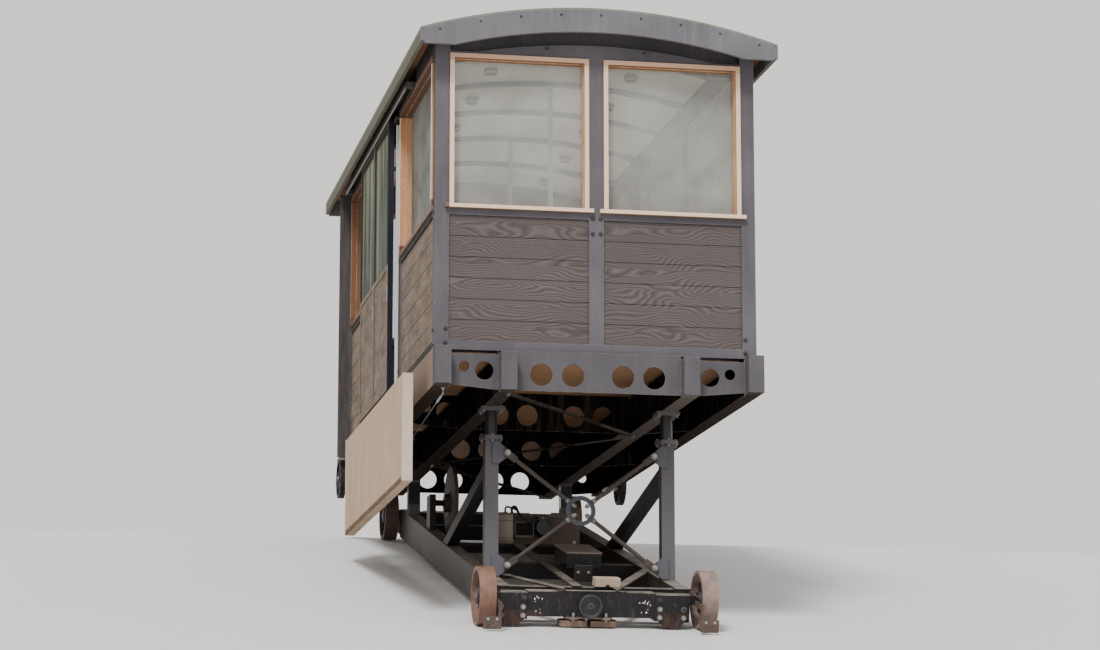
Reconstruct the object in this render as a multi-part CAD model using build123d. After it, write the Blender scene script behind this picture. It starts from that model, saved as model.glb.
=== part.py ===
from build123d import *
from math import atan2, cos, degrees, hypot, radians, sin, sqrt, tan
import os

# Inclined funicular car in millimetres. +X is right as seen from downhill, +Y is level uphill, +Z is up.
# The origin lies on the rail-head plane, on the track centre line, midway between the axles.
# The cabin is level. The running gear is modelled along the track and then tilted by the slope.

# Track and running gear
rail_slope = 13.5
wheel_base = 5200.0
wheel_diameter = 424.0
tread_width = 119.0
wheel_beam_gap = 32.5
rim_thickness = 30.0
hub_diameter = 116.0
hub_length = 104.0
spoke_count = 6
spoke_width = 46.0
spoke_thickness = 30.0
axle_diameter = 56.0
axle_end = 4.0
running_clearance = 0.3
seat_gap = 0.3

# Chassis along the track
beam_spread = 1334.0
beam_width = 106.0
beam_bottom = 35.0
beam_depth = 245.0
cross_depth = 120.0
cross_width = 80.0
end_member_inset = 170.0
middle_members = [
    # distance uphill of the midpoint between the axles
    -1050.0,
    1450.0,
]
flat_thickness = 12.0
flat_width = 70.0
diagonal_flats = [
    # x at the headstock, side of the beam, level distance of the beam end from the front wall
    (-230.0, -1, 950.0),
    (145.0, 1, 1200.0),
]
centre_flat_x = -105.0
bracket_plate_x = -15.0
bracket_plate_back = 450.0
bracket_plate_width = 130.0
bracket_plate_height = 120.0

# Headstocks
headstock_width = 933.0
headstock_shift = -35.0
headstock_bottom = 80.0
headstock_depth = 170.0
headstock_length = 130.0
headstock_wall = 14.0
stub_box_height = 70.0
stub_box_length = 110.0
stub_wheel_gap = 12.0
bearing_plate_inner = 470.0
cheek_wheel_gap_left = 27.5
cheek_wheel_gap_right = 75.5
bearing_plate_bottom = 12.0
bearing_plate_chamfer = 70.0
bearing_plate_thickness = 16.0
cheek_bottom = 60.0
head_plate_thickness = 9.0
head_plate_left = -280.0
head_plate_right = 220.0

# Buffer, guide and scrapers
buffer_x = -50.0
buffer_diameter = 172.0
buffer_length = 55.0
buffer_rim = 16.0
buffer_round = 4.0
buffer_recess = 24.0
buffer_boss = 44.0
buffer_boss_height = 12.0
guide_width = 350.0
guide_length = 130.0
guide_plate = 14.0
guide_ear_spread = 240.0
guide_ear_width = 60.0
guide_ear_reach = 45.0
guide_gap = 28.0
shoe_width = 200.0
shoe_height = 44.0
shoe_bottom = 8.0
shoe_round = 36.0
shoe_hanger = 60.0
scraper_lead = 80.0
scraper_thickness = 10.0
scraper_width = 128.0
scraper_bottom = 15.0
scraper_top = 107.0
scraper_arm = 16.0
scraper_arm_height = 40.0
scraper_arm_gap = 8.0

# Cabin
cabin_width = 2400.0
cabin_length = 5500.0
cabin_front_lead = 147.5
floor_height = 1702.0
floor_beam_depth = 275.0
floor_beam_width = 115.0
outer_beam_overhang = 14.0
inner_beam_centre = 675.0
inner_beam_drop = 34.0
inner_beam_gap = 30.0
beam_end_lead = 170.0
deck_thickness = 30.0
post_width = 105.0
centre_post_width = 112.0
wall_depth = 100.0
bottom_rail_height = 70.0
panel_height = 930.0
cross_rail_height = 49.0
window_height = 1167.0
head_rise = 107.0
head_radius = 4500.0
head_least = 18.0
gable_thickness = 20.0
panel_thickness = 24.0
panel_inset = 12.0
plank_count = 6
plank_groove = 6.0
groove_depth = 4.0
frame_width = 33.0
frame_depth = 94.0
frame_step = 6.0
frame_proud = 14.0
sill_height = 28.0
sill_lap = 32.0
end_sill_proud = 36.0
side_sill_proud = 10.0
glass_thickness = 8.0

# Floor plates
floor_plate_count = 4
plate_lead = 40.0
plate_thickness = 12.0
centre_plate_drop = 20.0
side_plate_top = 242.0
side_plate_rise = 13.0
centre_holes = [
    # distance from the centre line, height over the outer beams' underside, diameter
    (185.0, 102.0, 165.0),
    (419.0, 102.0, 165.0),
]
side_holes = [
    # distance from the centre line, height over the outer beams' underside, diameter
    (838.0, 119.0, 135.0),
    (987.0, 146.0, 80.0),
]
brace_width = 55.0
brace_thickness = 8.0
brace_gusset = 200.0

# Roof
roof_side_overhang = 142.0
roof_end_overhang = 196.0
roof_thickness = 15.0
roof_rise = 207.0
eave_rise = 134.0
fascia_depth = 120.0
fascia_crown_depth = 183.0
fascia_flat = 227.0
fascia_thickness = 32.0
fascia_joint = 3.0
fascia_joint_depth = 6.0
eave_depth = 107.0
eave_thickness = 28.0
hoop_count = 5
hoop_width = 50.0
hoop_depth = 48.0
cut_margin = 1.0

# Side bays, measured from the front wall
front_window_end = 1800.0
side_post_width = 150.0
middle_window_length = 1690.0
doorway_start = 2005.0
doorway_length = 1660.0
door_rear_jamb = 125.0
left_rear_window_end = 4850.0
batten_proud = 105.0
batten_width = 35.0
batten_gap = 3.0
batten_foot_rise = 185.0

# Sliding doors and their track
leaf_thickness = 45.0
leaf_wall_gap = 30.0
leaf_overlap = 15.0
leaf_meeting_gap = 6.0
leaf_head_drop = 5.0
leaf_floor_gap = 20.0
leaf_stile = 54.0
leaf_rail = 70.0
leaf_middle_rail = 40.0
leaf_panel_inset = 5.0
leaf_glass_inset = 6.0
leaf_glass_rise = 1011.0
leaf_travel = 960.0
hanger_height = 36.0
hanger_inset = 150.0
hanger_length = 60.0
hanger_thickness = 16.0
track_gap = 6.0
track_sheet = 4.0
track_height = 66.0
track_end = 30.0
runner_width = 26.0
runner_height = 14.0
runner_gap = 6.0
strip_front = 1900.0
strip_width = 36.0
strip_proud = 22.0

# Apron board below the doorway
apron_offset = 200.0
apron_thickness = 78.0
apron_front = 190.0
apron_length = 3350.0
apron_height = 790.0
apron_top_rise = 126.0
bracket_width = 60.0
bracket_height = 60.0
bracket_rise = 20.0
apron_bracket_places = [
    # distance behind the front end of the apron
    760.0,
    1560.0,
    2360.0,
    3160.0,
]

# Supports between the chassis and the floor
post_size = 100.0
front_post_back = 674.0
rear_post_inset = 840.0
pipe_diameter = 90.0
pipe_height = 230.0
flange_size = 176.0
flange_thickness = 30.0
head_flange_thickness = 25.0
strut_size = 90.0
strut_foot_back = 2600.0
strut_head_drop = 230.0
strut_overrun = 160.0
tie_rod_diameter = 32.0
tie_ring_outer = 224.0
tie_ring_inner = 160.0
tie_ring_thickness = 16.0
tie_pin_inset = 62.0
tie_pin_diameter = 30.0
tie_pin_length = 50.0
tie_high_drop = 346.0
tie_low_rise = 72.0
fork_width = 48.0
fork_length = 86.0
fork_thickness = 26.0
gusset_height = 160.0
gusset_reach = 96.0
gusset_lap = 48.0
gusset_nose = 56.0

# Equipment on the chassis
disc_diameter = 620.0
disc_thickness = 30.0
disc_x = -500.0
disc_back = 3630.0
disc_rise = 215.0
disc_shaft = 50.0
disc_hole = 28.0
disc_hole_radius = 215.0
boss_diameter = 150.0
boss_length = 60.0
pedestal_width = 180.0
pedestal_thickness = 50.0
pedestal_top = 60.0
shaft_end = 20.0
bed_back = 2750.0
bed_length = 520.0
bed_thickness = 20.0
bed_drop = 5.0
unit_back = 2800.0
unit_left = -240.0
unit_width = 690.0
unit_length = 420.0
tank_height = 250.0
lid_height = 18.0
lid_lap = 12.0
filter_diameter = 128.0
filter_height = 240.0
motor_diameter = 125.0
motor_length = 110.0
motor_x = 130.0
motor_rise = 145.0
valve_left = -96.0
valve_width = 152.0
valve_height = 120.0
valve_depth = 60.0
valve_rise = 70.0
box_back = 1330.0
box_left = 30.0
box_width = 270.0
box_length = 520.0
box_height = 117.0
block_left = 20.0
block_width = 185.0
block_length = 110.0
block_height = 62.0
block_notch = 36.0

# Small wheels at the sides of the floor
side_wheel_diameter = 340.0
side_wheel_width = 50.0
side_wheel_rim = 24.0
side_wheel_hub = 84.0
side_wheel_spoke = 34.0
side_wheel_inset = 400.0
side_wheel_rise = 23.0
side_wheel_gap = 6.0
side_axle_diameter = 40.0
side_axle_end = 12.0
side_plate_length = 140.0

# Poles inside
pole_diameter = 38.0
pole_foot = 90.0
pole_foot_height = 10.0
pole_hoops = [
    # hoop that each pole stands under, counted from the front
    2,
    4,
]

# Values worked out from the sizes above
slope = radians(rail_slope)
wheel_radius = wheel_diameter / 2
wheel_track = beam_spread + beam_width + 2 * wheel_beam_gap + tread_width
wheel_inner = wheel_track / 2 - tread_width / 2
bearing_plate_outer_left = wheel_inner - cheek_wheel_gap_left + headstock_shift
bearing_plate_outer_right = wheel_inner - cheek_wheel_gap_right - headstock_shift
beam_top = beam_bottom + beam_depth
beam_inner = beam_spread / 2 - beam_width / 2
beam_outer = beam_spread / 2 + beam_width / 2
member_top = beam_top - flat_thickness
headstock_top = headstock_bottom + headstock_depth
front_contact_y = -wheel_base / 2 * cos(slope)
front_contact_z = -wheel_base / 2 * sin(slope)
cabin_front = front_contact_y - cabin_front_lead
cabin_rear = cabin_front + cabin_length
half_width = cabin_width / 2
floor_bottom = front_contact_z + floor_height
floor_top = floor_bottom + floor_beam_depth
inner_beam_bottom = floor_bottom - inner_beam_drop
deck_top = floor_top + deck_thickness
panel_bottom = floor_top + bottom_rail_height
panel_top = panel_bottom + panel_height
window_bottom = panel_top + cross_rail_height
window_top = window_bottom + window_height
roof_half = half_width + roof_side_overhang
roof_radius = (roof_half ** 2 + roof_rise ** 2) / (2 * roof_rise)
roof_edge_z = window_top + eave_rise
roof_crown_z = roof_edge_z + roof_rise
under_radius = roof_radius - roof_thickness
under_crown = roof_crown_z - roof_thickness
post_top = inner_beam_bottom - pipe_height
front_post_y = cabin_front + front_post_back
rear_post_y = cabin_rear - rear_post_inset
middle_window_start = front_window_end + side_post_width
rear_window_start = middle_window_start + middle_window_length + side_post_width
doorway_end = doorway_start + doorway_length
leaf_length = doorway_length / 2 + leaf_overlap - leaf_meeting_gap / 2
door_centre = cabin_front + doorway_start + doorway_length / 2
leaf_inner_x = -half_width - leaf_wall_gap
leaf_bottom = floor_top + leaf_floor_gap
leaf_top = window_top - leaf_head_drop
runner_top = leaf_top + runner_gap + runner_height
bed_top = front_contact_z + (bed_back - cabin_front_lead) * tan(slope) + beam_top / cos(slope) - bed_drop
hoop_pitch = cabin_length / (hoop_count + 1)


def block(x0, x1, y0, y1, z0, z1):
    """A box between two corners, given in either order."""
    return Pos((x0 + x1) / 2, (y0 + y1) / 2, (z0 + z1) / 2) * Box(abs(x1 - x0), abs(y1 - y0), abs(z1 - z0))


def rect(u0, u1, v0, v1):
    """A flat rectangle between two corners."""
    return Pos((u0 + u1) / 2, (v0 + v1) / 2) * Rectangle(u1 - u0, v1 - v0)


def across(sketch, y0, thickness):
    """A slab that faces along Y. The sketch is drawn in X and Z."""
    plane = Plane(origin=(0, y0, 0), x_dir=(1, 0, 0), z_dir=(0, -1, 0))
    return extrude(plane * sketch, amount=-thickness)


def along(sketch, x0, thickness):
    """A slab that faces along X. The sketch is drawn in Y and Z."""
    plane = Plane(origin=(x0, 0, 0), x_dir=(0, 1, 0), z_dir=(1, 0, 0))
    return extrude(plane * sketch, amount=thickness)


def flat(sketch, z0, thickness):
    """A slab that faces up. The sketch is drawn in X and Y."""
    return extrude(Pos(0, 0, z0) * sketch, amount=thickness)


def turned(x, y, z, diameter, length):
    """A round bar along X about its middle."""
    return Pos(x, y, z) * Rot(0, 90, 0) * Cylinder(diameter / 2, length)


def bar(start, end, width, depth):
    """A rectangular bar between two points of one YZ plane. The width lies along X."""
    start = Vector(*start)
    end = Vector(*end)
    plane = Plane(origin=start, x_dir=(1, 0, 0), z_dir=end - start)
    return extrude(plane * Rectangle(width, depth), amount=(end - start).length)


def strip(start, end, width):
    """Outline of a flat bar between two points, with its ends cut square to X."""
    lean = hypot(end[0] - start[0], end[1] - start[1]) / abs(end[0] - start[0])
    half = width * lean / 2
    return make_face(Polyline((start[0], start[1] - half), (end[0], end[1] - half), (end[0], end[1] + half),
                              (start[0], start[1] + half), close=True))


def tilt(shape):
    """Turns a piece from the track's own frame onto the slope."""
    return Rot(rail_slope, 0, 0) * shape


def track_point(x, s, n):
    """A point at distance s along the rails and height n over them, in the level frame."""
    return (x, s * cos(slope) - n * sin(slope), s * sin(slope) + n * cos(slope))


def along_track(y, n):
    """Distance along the rails of a point at level distance y and height n over the rails."""
    return (y + n * sin(slope)) / cos(slope)


def rail_z(y):
    """Height of the rail-head plane at a level distance y."""
    return y * tan(slope)


def beam_top_z(y):
    """Height of the chassis beams' top face at a level distance y."""
    return rail_z(y) + beam_top / cos(slope)


def roof_arc_z(x, radius, crown):
    """Height of the roof arc at a distance x from the centre line."""
    return crown - radius + sqrt(radius ** 2 - x ** 2)


def arch_face(half, bottom, radius, crown):
    """An upright face with a flat bottom and the roof's arc on top."""
    edge = roof_arc_z(half, radius, crown)
    sides = Polyline((-half, edge), (-half, bottom), (half, bottom), (half, edge))
    return make_face(sides + ThreePointArc((half, edge), (0, crown), (-half, edge)))


def join(pieces):
    """One shape from a list of pieces."""
    result = pieces[0]
    for piece in pieces[1:]:
        result += piece
    return result


def group(pieces):
    """Separate solids kept in one node."""
    return Compound(children=[solid for piece in pieces for solid in piece.solids()])


def tilted_group(pieces):
    """Separate solids of one node, turned onto the slope."""
    return group([tilt(piece) for piece in pieces])


def mirrored(piece):
    """The piece and its twin on the other side of the centre line."""
    return [piece, mirror(piece, about=Plane.YZ)]


def spoked_wheel(diameter, width, rim, hub, hub_width, bore, arm_width, arm_thickness):
    """A flat-tread wheel about the X axis, with a rim, arms and a bored hub."""
    outer = diameter / 2
    inner = outer - rim
    wheel = Rot(0, 90, 0) * (Cylinder(outer, width) - Cylinder(inner, width) + Cylinder(hub / 2, hub_width))
    arm_end = inner + rim / 2
    arm = block(-arm_thickness / 2, arm_thickness / 2, -arm_width / 2, arm_width / 2, 0, arm_end)
    for step in range(spoke_count):
        wheel += Rot(360.0 * step / spoke_count, 0, 0) * arm
    return wheel - Rot(0, 90, 0) * Cylinder(bore / 2, width)


def running_wheel(side, end):
    """One running wheel at its axle place."""
    bore = axle_diameter + 2 * running_clearance
    wheel = spoked_wheel(wheel_diameter, tread_width, rim_thickness, hub_diameter, hub_length, bore,
                         spoke_width, spoke_thickness)
    return tilt(Pos(side * wheel_track / 2, end * wheel_base / 2, wheel_radius) * wheel)


def side_wheel(side):
    """One small wheel outside the floor's outer beam."""
    bore = side_axle_diameter + 2 * running_clearance
    wheel = spoked_wheel(side_wheel_diameter, side_wheel_width, side_wheel_rim, side_wheel_hub,
                         side_wheel_width, bore, side_wheel_spoke, side_wheel_spoke)
    x = side * (half_width + outer_beam_overhang + side_wheel_gap + side_wheel_width / 2)
    return Pos(x, cabin_rear - side_wheel_inset, floor_bottom + side_wheel_rise) * wheel


def member_places():
    """Distances of the chassis cross members along the rails."""
    end = wheel_base / 2 - end_member_inset
    return [-end] + middle_members + [end]


def chassis_frame():
    """Two box beams along the slope with cross members between them."""
    reach = wheel_base / 2 - headstock_length / 2
    pieces = mirrored(block(beam_inner, beam_outer, -reach, reach, beam_bottom, beam_top))
    for s in member_places():
        pieces.append(block(-beam_inner, beam_inner, s - cross_width / 2, s + cross_width / 2,
                            member_top - cross_depth, member_top))
    return tilted_group(pieces)


def chassis_flats():
    """Flat bars on top of the cross members and a small upright plate on the middle bar."""
    front = member_places()[0] - cross_width / 2
    rear = along_track(cabin_front + bed_back, member_top) - seat_gap
    left = centre_flat_x - flat_width / 2
    middle = block(left, left + flat_width, front, rear, member_top, beam_top)
    s = along_track(cabin_front + bracket_plate_back, beam_top)
    half = bracket_plate_width / 2
    plate = block(bracket_plate_x - half, bracket_plate_x + half, s, s + flat_thickness, beam_top,
                  beam_top + bracket_plate_height)
    pieces = [middle, plate]
    for x, side, back in diagonal_flats:
        start = (x, -wheel_base / 2)
        end = (side * beam_inner, along_track(cabin_front + back, beam_top))
        pieces.append(flat(strip(start, end, flat_width), member_top, flat_thickness))
    return tilted_group(pieces)


def headstock(end):
    """Cross channel with stub boxes, cheeks, bearing plates, top plates and the two axle pins."""
    s = end * wheel_base / 2
    half = headstock_width / 2
    near = s - headstock_length / 2
    far = s + headstock_length / 2
    face = s + end * headstock_length / 2
    shift = headstock_shift
    channel = block(shift - half, shift + half, near, far, headstock_bottom, headstock_top)
    channel -= block(shift - half, shift + half, face - end * headstock_wall, s - end * headstock_length,
                     headstock_bottom + headstock_wall, headstock_top - headstock_wall)
    reach = wheel_track / 2 - tread_width / 2 - stub_wheel_gap
    stub_bottom = headstock_top - stub_box_height
    rim = stub_box_length / 2
    start = face if end > 0 else face - bearing_plate_thickness
    low = bearing_plate_bottom + bearing_plate_chamfer
    pieces = [channel]
    pin_end = wheel_track / 2 + hub_length / 2 + axle_end
    for side, outer in ((-1, bearing_plate_outer_left), (1, bearing_plate_outer_right)):
        inner = shift + side * half
        cheek_end = shift + side * outer
        side_set = block(inner, cheek_end, near, far, cheek_bottom, headstock_top)
        side_set += block(cheek_end, side * reach, s - rim, s + rim, stub_bottom, headstock_top)
        start_x = side * reach
        side_set += turned((start_x + side * pin_end) / 2, s, wheel_radius, axle_diameter, pin_end - reach)
        outline = make_face(Polyline(
            (bearing_plate_inner, headstock_top), (outer, headstock_top), (outer, low),
            (outer - bearing_plate_chamfer, bearing_plate_bottom),
            (bearing_plate_inner + bearing_plate_chamfer, bearing_plate_bottom), (bearing_plate_inner, low),
            close=True))
        plate = across(outline, start, bearing_plate_thickness)
        side_set += Pos(shift, 0, 0) * (plate if side > 0 else mirror(plate, about=Plane.YZ))
        pieces.append(side_set)
    top = headstock_top
    pieces.append(block(shift - bearing_plate_inner, shift + bearing_plate_inner, near, far, top,
                        top + head_plate_thickness))
    top += head_plate_thickness
    pieces.append(block(head_plate_left, head_plate_right, near, s, top, top + head_plate_thickness))
    return pieces


def headstocks():
    """Front and rear headstocks, one across each end of the chassis beams."""
    return tilted_group(headstock(-1) + headstock(1))


def buffer():
    """Short round buffer with a raised rim and a boss on the front headstock."""
    face = -wheel_base / 2 - headstock_length / 2
    n = headstock_bottom + headstock_depth / 2
    body = Cylinder(buffer_diameter / 2, buffer_length)
    recess_place = Pos(0, 0, (buffer_length - buffer_recess) / 2)
    recess = recess_place * Cylinder(buffer_diameter / 2 - buffer_rim, buffer_recess)
    boss_place = Pos(0, 0, buffer_length / 2 - buffer_recess + buffer_boss_height / 2)
    boss = boss_place * Cylinder(buffer_boss / 2, buffer_boss_height)
    shape = fillet((body - recess).edges().group_by(Axis.Z)[-1], buffer_round) + boss
    return tilt(Pos(buffer_x, face - buffer_length / 2, n) * Rot(90, 0, 0) * shape)


def rail_guide():
    """Plate with two ears under the front headstock, and a rounded shoe each side of the centre rail."""
    s = -wheel_base / 2
    near = s - guide_length / 2
    far = s + guide_length / 2
    half = guide_width / 2
    plate_bottom = headstock_bottom - guide_plate
    base = block(-half, half, near, far, plate_bottom, headstock_bottom)
    guide = fillet(base.edges().filter_by(Axis.Z), guide_plate)
    for side in (-1, 1):
        ear_x = side * guide_ear_spread / 2
        guide += block(ear_x - guide_ear_width / 2, ear_x + guide_ear_width / 2, near - guide_ear_reach, s,
                       plate_bottom, headstock_bottom)
        inner = side * guide_gap / 2
        outer = side * (guide_gap / 2 + shoe_width)
        shoe = block(inner, outer, near, far, shoe_bottom, shoe_bottom + shoe_height)
        outside = shoe.edges().filter_by(Axis.Z).sort_by(Axis.X)
        guide += fillet(outside[2:] if side > 0 else outside[:2], shoe_round)
        middle = side * (half - shoe_hanger)
        guide += block(middle - shoe_hanger / 2, middle + shoe_hanger / 2, s - shoe_hanger / 2,
                       s + shoe_hanger / 2, shoe_bottom + shoe_height, plate_bottom)
    return tilt(Pos(buffer_x, 0, 0) * guide)


def wheel_scrapers():
    """A blade in front of each front wheel's foot, on an arm from the headstock."""
    root = -wheel_base / 2 - stub_box_length / 2
    tip = -wheel_base / 2 - wheel_radius - scraper_lead
    outer = wheel_track / 2 - tread_width / 2 - scraper_arm_gap
    inner = outer - scraper_arm
    low = wheel_radius - scraper_arm_height
    arm = block(inner, outer, tip, root, low, wheel_radius)
    arm += block(inner, outer, tip, tip + scraper_arm_height, scraper_bottom, wheel_radius)
    blade = block(inner, inner + scraper_width, tip - scraper_thickness, tip, scraper_bottom, scraper_top)
    return tilted_group(mirrored(arm) + mirrored(blade))


def above_chassis(shape):
    """The part of an upright or a strut that stands above the chassis beams."""
    return shape - tilt(block(-half_width, half_width, -wheel_base, wheel_base, -wheel_base, beam_top))


def front_post():
    """Square post with a round flange, a pipe head and a square flange under an inner floor beam."""
    y = front_post_y
    x = beam_spread / 2
    half = post_size / 2
    post = block(x - half, x + half, y - half, y + half, rail_z(y), post_top)
    post += Pos(x, y, post_top) * Cylinder(flange_size / 2, flange_thickness)
    post += Pos(x, y, (post_top + inner_beam_bottom) / 2) * Cylinder(pipe_diameter / 2, pipe_height)
    post += Pos(x, y, inner_beam_bottom - head_flange_thickness / 2) * Box(flange_size, flange_size,
                                                                          head_flange_thickness)
    return above_chassis(post)


def rear_post():
    """Short square post between a chassis beam and an inner floor beam."""
    y = rear_post_y
    x = beam_spread / 2
    half = post_size / 2
    return above_chassis(block(x - half, x + half, y - half, y + half, rail_z(y), inner_beam_bottom))


def raking_struts():
    """Struts from the backs of the front posts down to the chassis beams."""
    y0 = front_post_y + post_size / 2
    z0 = post_top - strut_head_drop
    y1 = cabin_front + strut_foot_back
    z1 = beam_top_z(y1)
    x = beam_spread / 2
    fall = (z1 - z0) / (y1 - y0)
    start = (x, y0 - strut_overrun, z0 - fall * strut_overrun)
    end = (x, y1 + strut_overrun, z1 + fall * strut_overrun)
    strut = bar(start, end, strut_size, strut_size)
    strut -= block(0, 2 * x, y0 - 2 * strut_overrun, y0, z1 - half_width, z0 + half_width)
    return group(mirrored(above_chassis(strut)))


def cross_tie():
    """Crossed tie rods with forked ends and a ring, on gusset plates in front of the front posts."""
    y = front_post_y - post_size / 2 - tie_ring_thickness / 2
    face = beam_spread / 2 - post_size / 2
    high = inner_beam_bottom - tie_high_drop
    low = beam_top_z(front_post_y) + tie_low_rise
    middle = (high + low) / 2
    pin_x = face - tie_pin_inset
    slant = hypot(pin_x, high - middle)
    angle = degrees(atan2(high - middle, pin_x))
    fork_half = fork_width / 2
    fork_start = slant - fork_length
    fork_root = slant - fork_length / 2
    arm = turned((tie_ring_outer / 2 + fork_start) / 2 - tie_ring_thickness / 4, 0, 0, tie_rod_diameter,
                 fork_start - tie_ring_outer / 2 + tie_ring_thickness / 2)
    arm += block(fork_start, fork_root, -fork_thickness / 2, fork_thickness / 2, -fork_half, fork_half)
    for front in (-1, 1):
        arm += block(fork_root, slant + fork_half, front * tie_ring_thickness / 2, front * fork_thickness / 2,
                     -fork_half, fork_half)
    arm += Pos(slant, 0, 0) * Rot(90, 0, 0) * Cylinder(tie_pin_diameter / 2, tie_pin_length)
    blank = Rot(90, 0, 0) * Cylinder(tie_ring_outer / 2, tie_ring_thickness)
    arm -= blank
    ring = blank - Rot(90, 0, 0) * Cylinder(tie_ring_inner / 2, tie_ring_thickness)
    outline = make_face(Polyline((gusset_lap, gusset_height / 2), (0, gusset_height / 2),
                                 (-gusset_reach + gusset_nose / 2, gusset_nose / 2), (-gusset_reach, 0),
                                 (-gusset_reach + gusset_nose / 2, -gusset_nose / 2), (0, -gusset_height / 2),
                                 (gusset_lap, -gusset_height / 2), close=True))
    outline -= Pos(-tie_pin_inset, 0) * Circle(tie_pin_diameter / 2)
    pieces = [Pos(0, y, middle) * ring]
    for z, turn in ((high, -1), (low, 1)):
        pieces += mirrored(Pos(0, y, middle) * Rot(0, turn * angle, 0) * arm)
        gusset = Pos(face, 0, z) * across(outline, y - tie_ring_thickness / 2, tie_ring_thickness)
        pieces += mirrored(gusset)
    return group(pieces)


def rope_disc():
    """Upright disc with a ring of holes and a boss that turns on the pedestal's stub shaft."""
    y = cabin_front + disc_back
    z = beam_top_z(y) + disc_rise
    disc = turned(disc_x, y, z, disc_diameter, disc_thickness)
    disc += turned(disc_x - boss_length / 2, y, z, boss_diameter, boss_length)
    disc -= turned(disc_x, y, z, disc_shaft + 2 * running_clearance, 3 * boss_length)
    for step in range(spoke_count):
        place = Pos(disc_x, y, z) * Rot(360.0 * step / spoke_count, 0, 0) * Pos(0, 0, disc_hole_radius)
        disc -= place * Rot(0, 90, 0) * Cylinder(disc_hole / 2, 2 * disc_thickness)
    return disc


def disc_pedestal():
    """Pedestal on the left chassis beam with the stub shaft that carries the disc."""
    y = cabin_front + disc_back
    z = beam_top_z(y) + disc_rise
    x = -beam_spread / 2
    half = pedestal_width / 2
    plate = block(x - pedestal_thickness / 2, x + pedestal_thickness / 2, y - half, y + half, rail_z(y),
                  z + pedestal_top)
    tip = disc_x + disc_thickness / 2 + shaft_end
    return group([above_chassis(plate), turned((x + pedestal_thickness / 2 + tip) / 2, y, z, disc_shaft,
                                               tip - x - pedestal_thickness / 2)])


def pack_bed():
    """Level plate between the chassis beams that carries the power pack."""
    y = cabin_front + bed_back
    return block(-beam_inner, beam_inner, y, y + bed_length, bed_top - bed_thickness, bed_top)


def brake_unit():
    """Power pack: oil tank with a lid, and a filter, a motor and a valve box in front of it."""
    front = cabin_front + unit_back
    right = unit_left + unit_width
    face = front + filter_diameter
    rear = front + unit_length
    tank_left = unit_left + filter_diameter
    tank_top = bed_top + tank_height
    tank = block(tank_left, right, face, rear, bed_top, tank_top)
    lid = block(tank_left - lid_lap, right + lid_lap, face - lid_lap, rear + lid_lap, tank_top,
                tank_top + lid_height)
    can_place = Pos(unit_left + filter_diameter / 2, front + filter_diameter / 2, bed_top + filter_height / 2)
    can = can_place * Cylinder(filter_diameter / 2, filter_height)
    motor_place = Pos(motor_x, face - motor_length / 2, bed_top + motor_rise) * Rot(90, 0, 0)
    motor = motor_place * Cylinder(motor_diameter / 2, motor_length)
    valve_bottom = bed_top + valve_rise
    valve = block(valve_left, valve_left + valve_width, face - valve_depth, face, valve_bottom,
                  valve_bottom + valve_height)
    return group([tank, lid, can, motor, valve])


def control_box():
    """Long low box on the chassis cross member."""
    s = along_track(cabin_front + box_back, beam_top)
    return tilt(block(box_left, box_left + box_width, s, s + box_length, member_top, member_top + box_height))


def timber_block():
    """Block of wood with a notch, lying on the flat bars at the front of the chassis."""
    s = member_places()[0] + cross_width / 2
    x = block_left + block_width / 2
    wood = block(block_left, block_left + block_width, s - block_length, s, beam_top, beam_top + block_height)
    wood -= Pos(x, s, beam_top) * Rot(90, 0, 0) * Cylinder(block_notch / 2, 2 * block_length)
    return tilt(wood)


def floor_beams():
    """Four box beams along the level floor. Their ends stand proud of the walls."""
    outer = half_width + outer_beam_overhang
    front = cabin_front - beam_end_lead
    rear = cabin_rear + beam_end_lead
    side = block(outer - floor_beam_width, outer, front, rear, floor_bottom, floor_top)
    half = floor_beam_width / 2
    inner = block(inner_beam_centre - half, inner_beam_centre + half, front, rear, inner_beam_bottom,
                  floor_top - inner_beam_gap)
    return group(mirrored(side) + mirrored(inner))


def floor_plate_places():
    """Level distances of the plates across the floor."""
    first = cabin_front - plate_lead
    last = cabin_rear + plate_lead - plate_thickness
    return [first + (last - first) * step / (floor_plate_count - 1) for step in range(floor_plate_count)]


def floor_plates():
    """Perforated plates across the floor, one pair at the ends and the rest beneath the deck."""
    inner = inner_beam_centre - floor_beam_width / 2
    side_start = inner_beam_centre + floor_beam_width / 2
    side_end = half_width + outer_beam_overhang - floor_beam_width
    low = floor_bottom - centre_plate_drop
    centre = rect(-inner, inner, low, floor_top)
    for x, rise, diameter in centre_holes:
        for side in (-1, 1):
            centre -= Pos(side * x, floor_bottom + rise) * Circle(diameter / 2)
    top = floor_bottom + side_plate_top
    side_low = floor_bottom + side_plate_rise
    side_plate = make_face(Polyline((side_start, low), (side_end, side_low), (side_end, top),
                                    (side_start, top), close=True))
    for x, rise, diameter in side_holes:
        side_plate -= Pos(x, floor_bottom + rise) * Circle(diameter / 2)
    plates = []
    for y in floor_plate_places():
        plates.append(across(centre, y, plate_thickness))
        plates += mirrored(across(side_plate, y, plate_thickness))
    return group(plates)


def floor_deck():
    """Plywood deck on the floor beams, notched round the corner posts."""
    x = half_width - wall_depth
    deck = block(-x, x, cabin_front + wall_depth, cabin_rear - wall_depth, floor_top, deck_top)
    corner = half_width - post_width
    for side in (-1, 1):
        for end_y, inward in ((cabin_front, 1), (cabin_rear, -1)):
            deck -= block(side * corner, side * half_width, end_y, end_y + inward * post_width,
                          floor_top - deck_thickness, deck_top + deck_thickness)
    return deck


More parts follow.
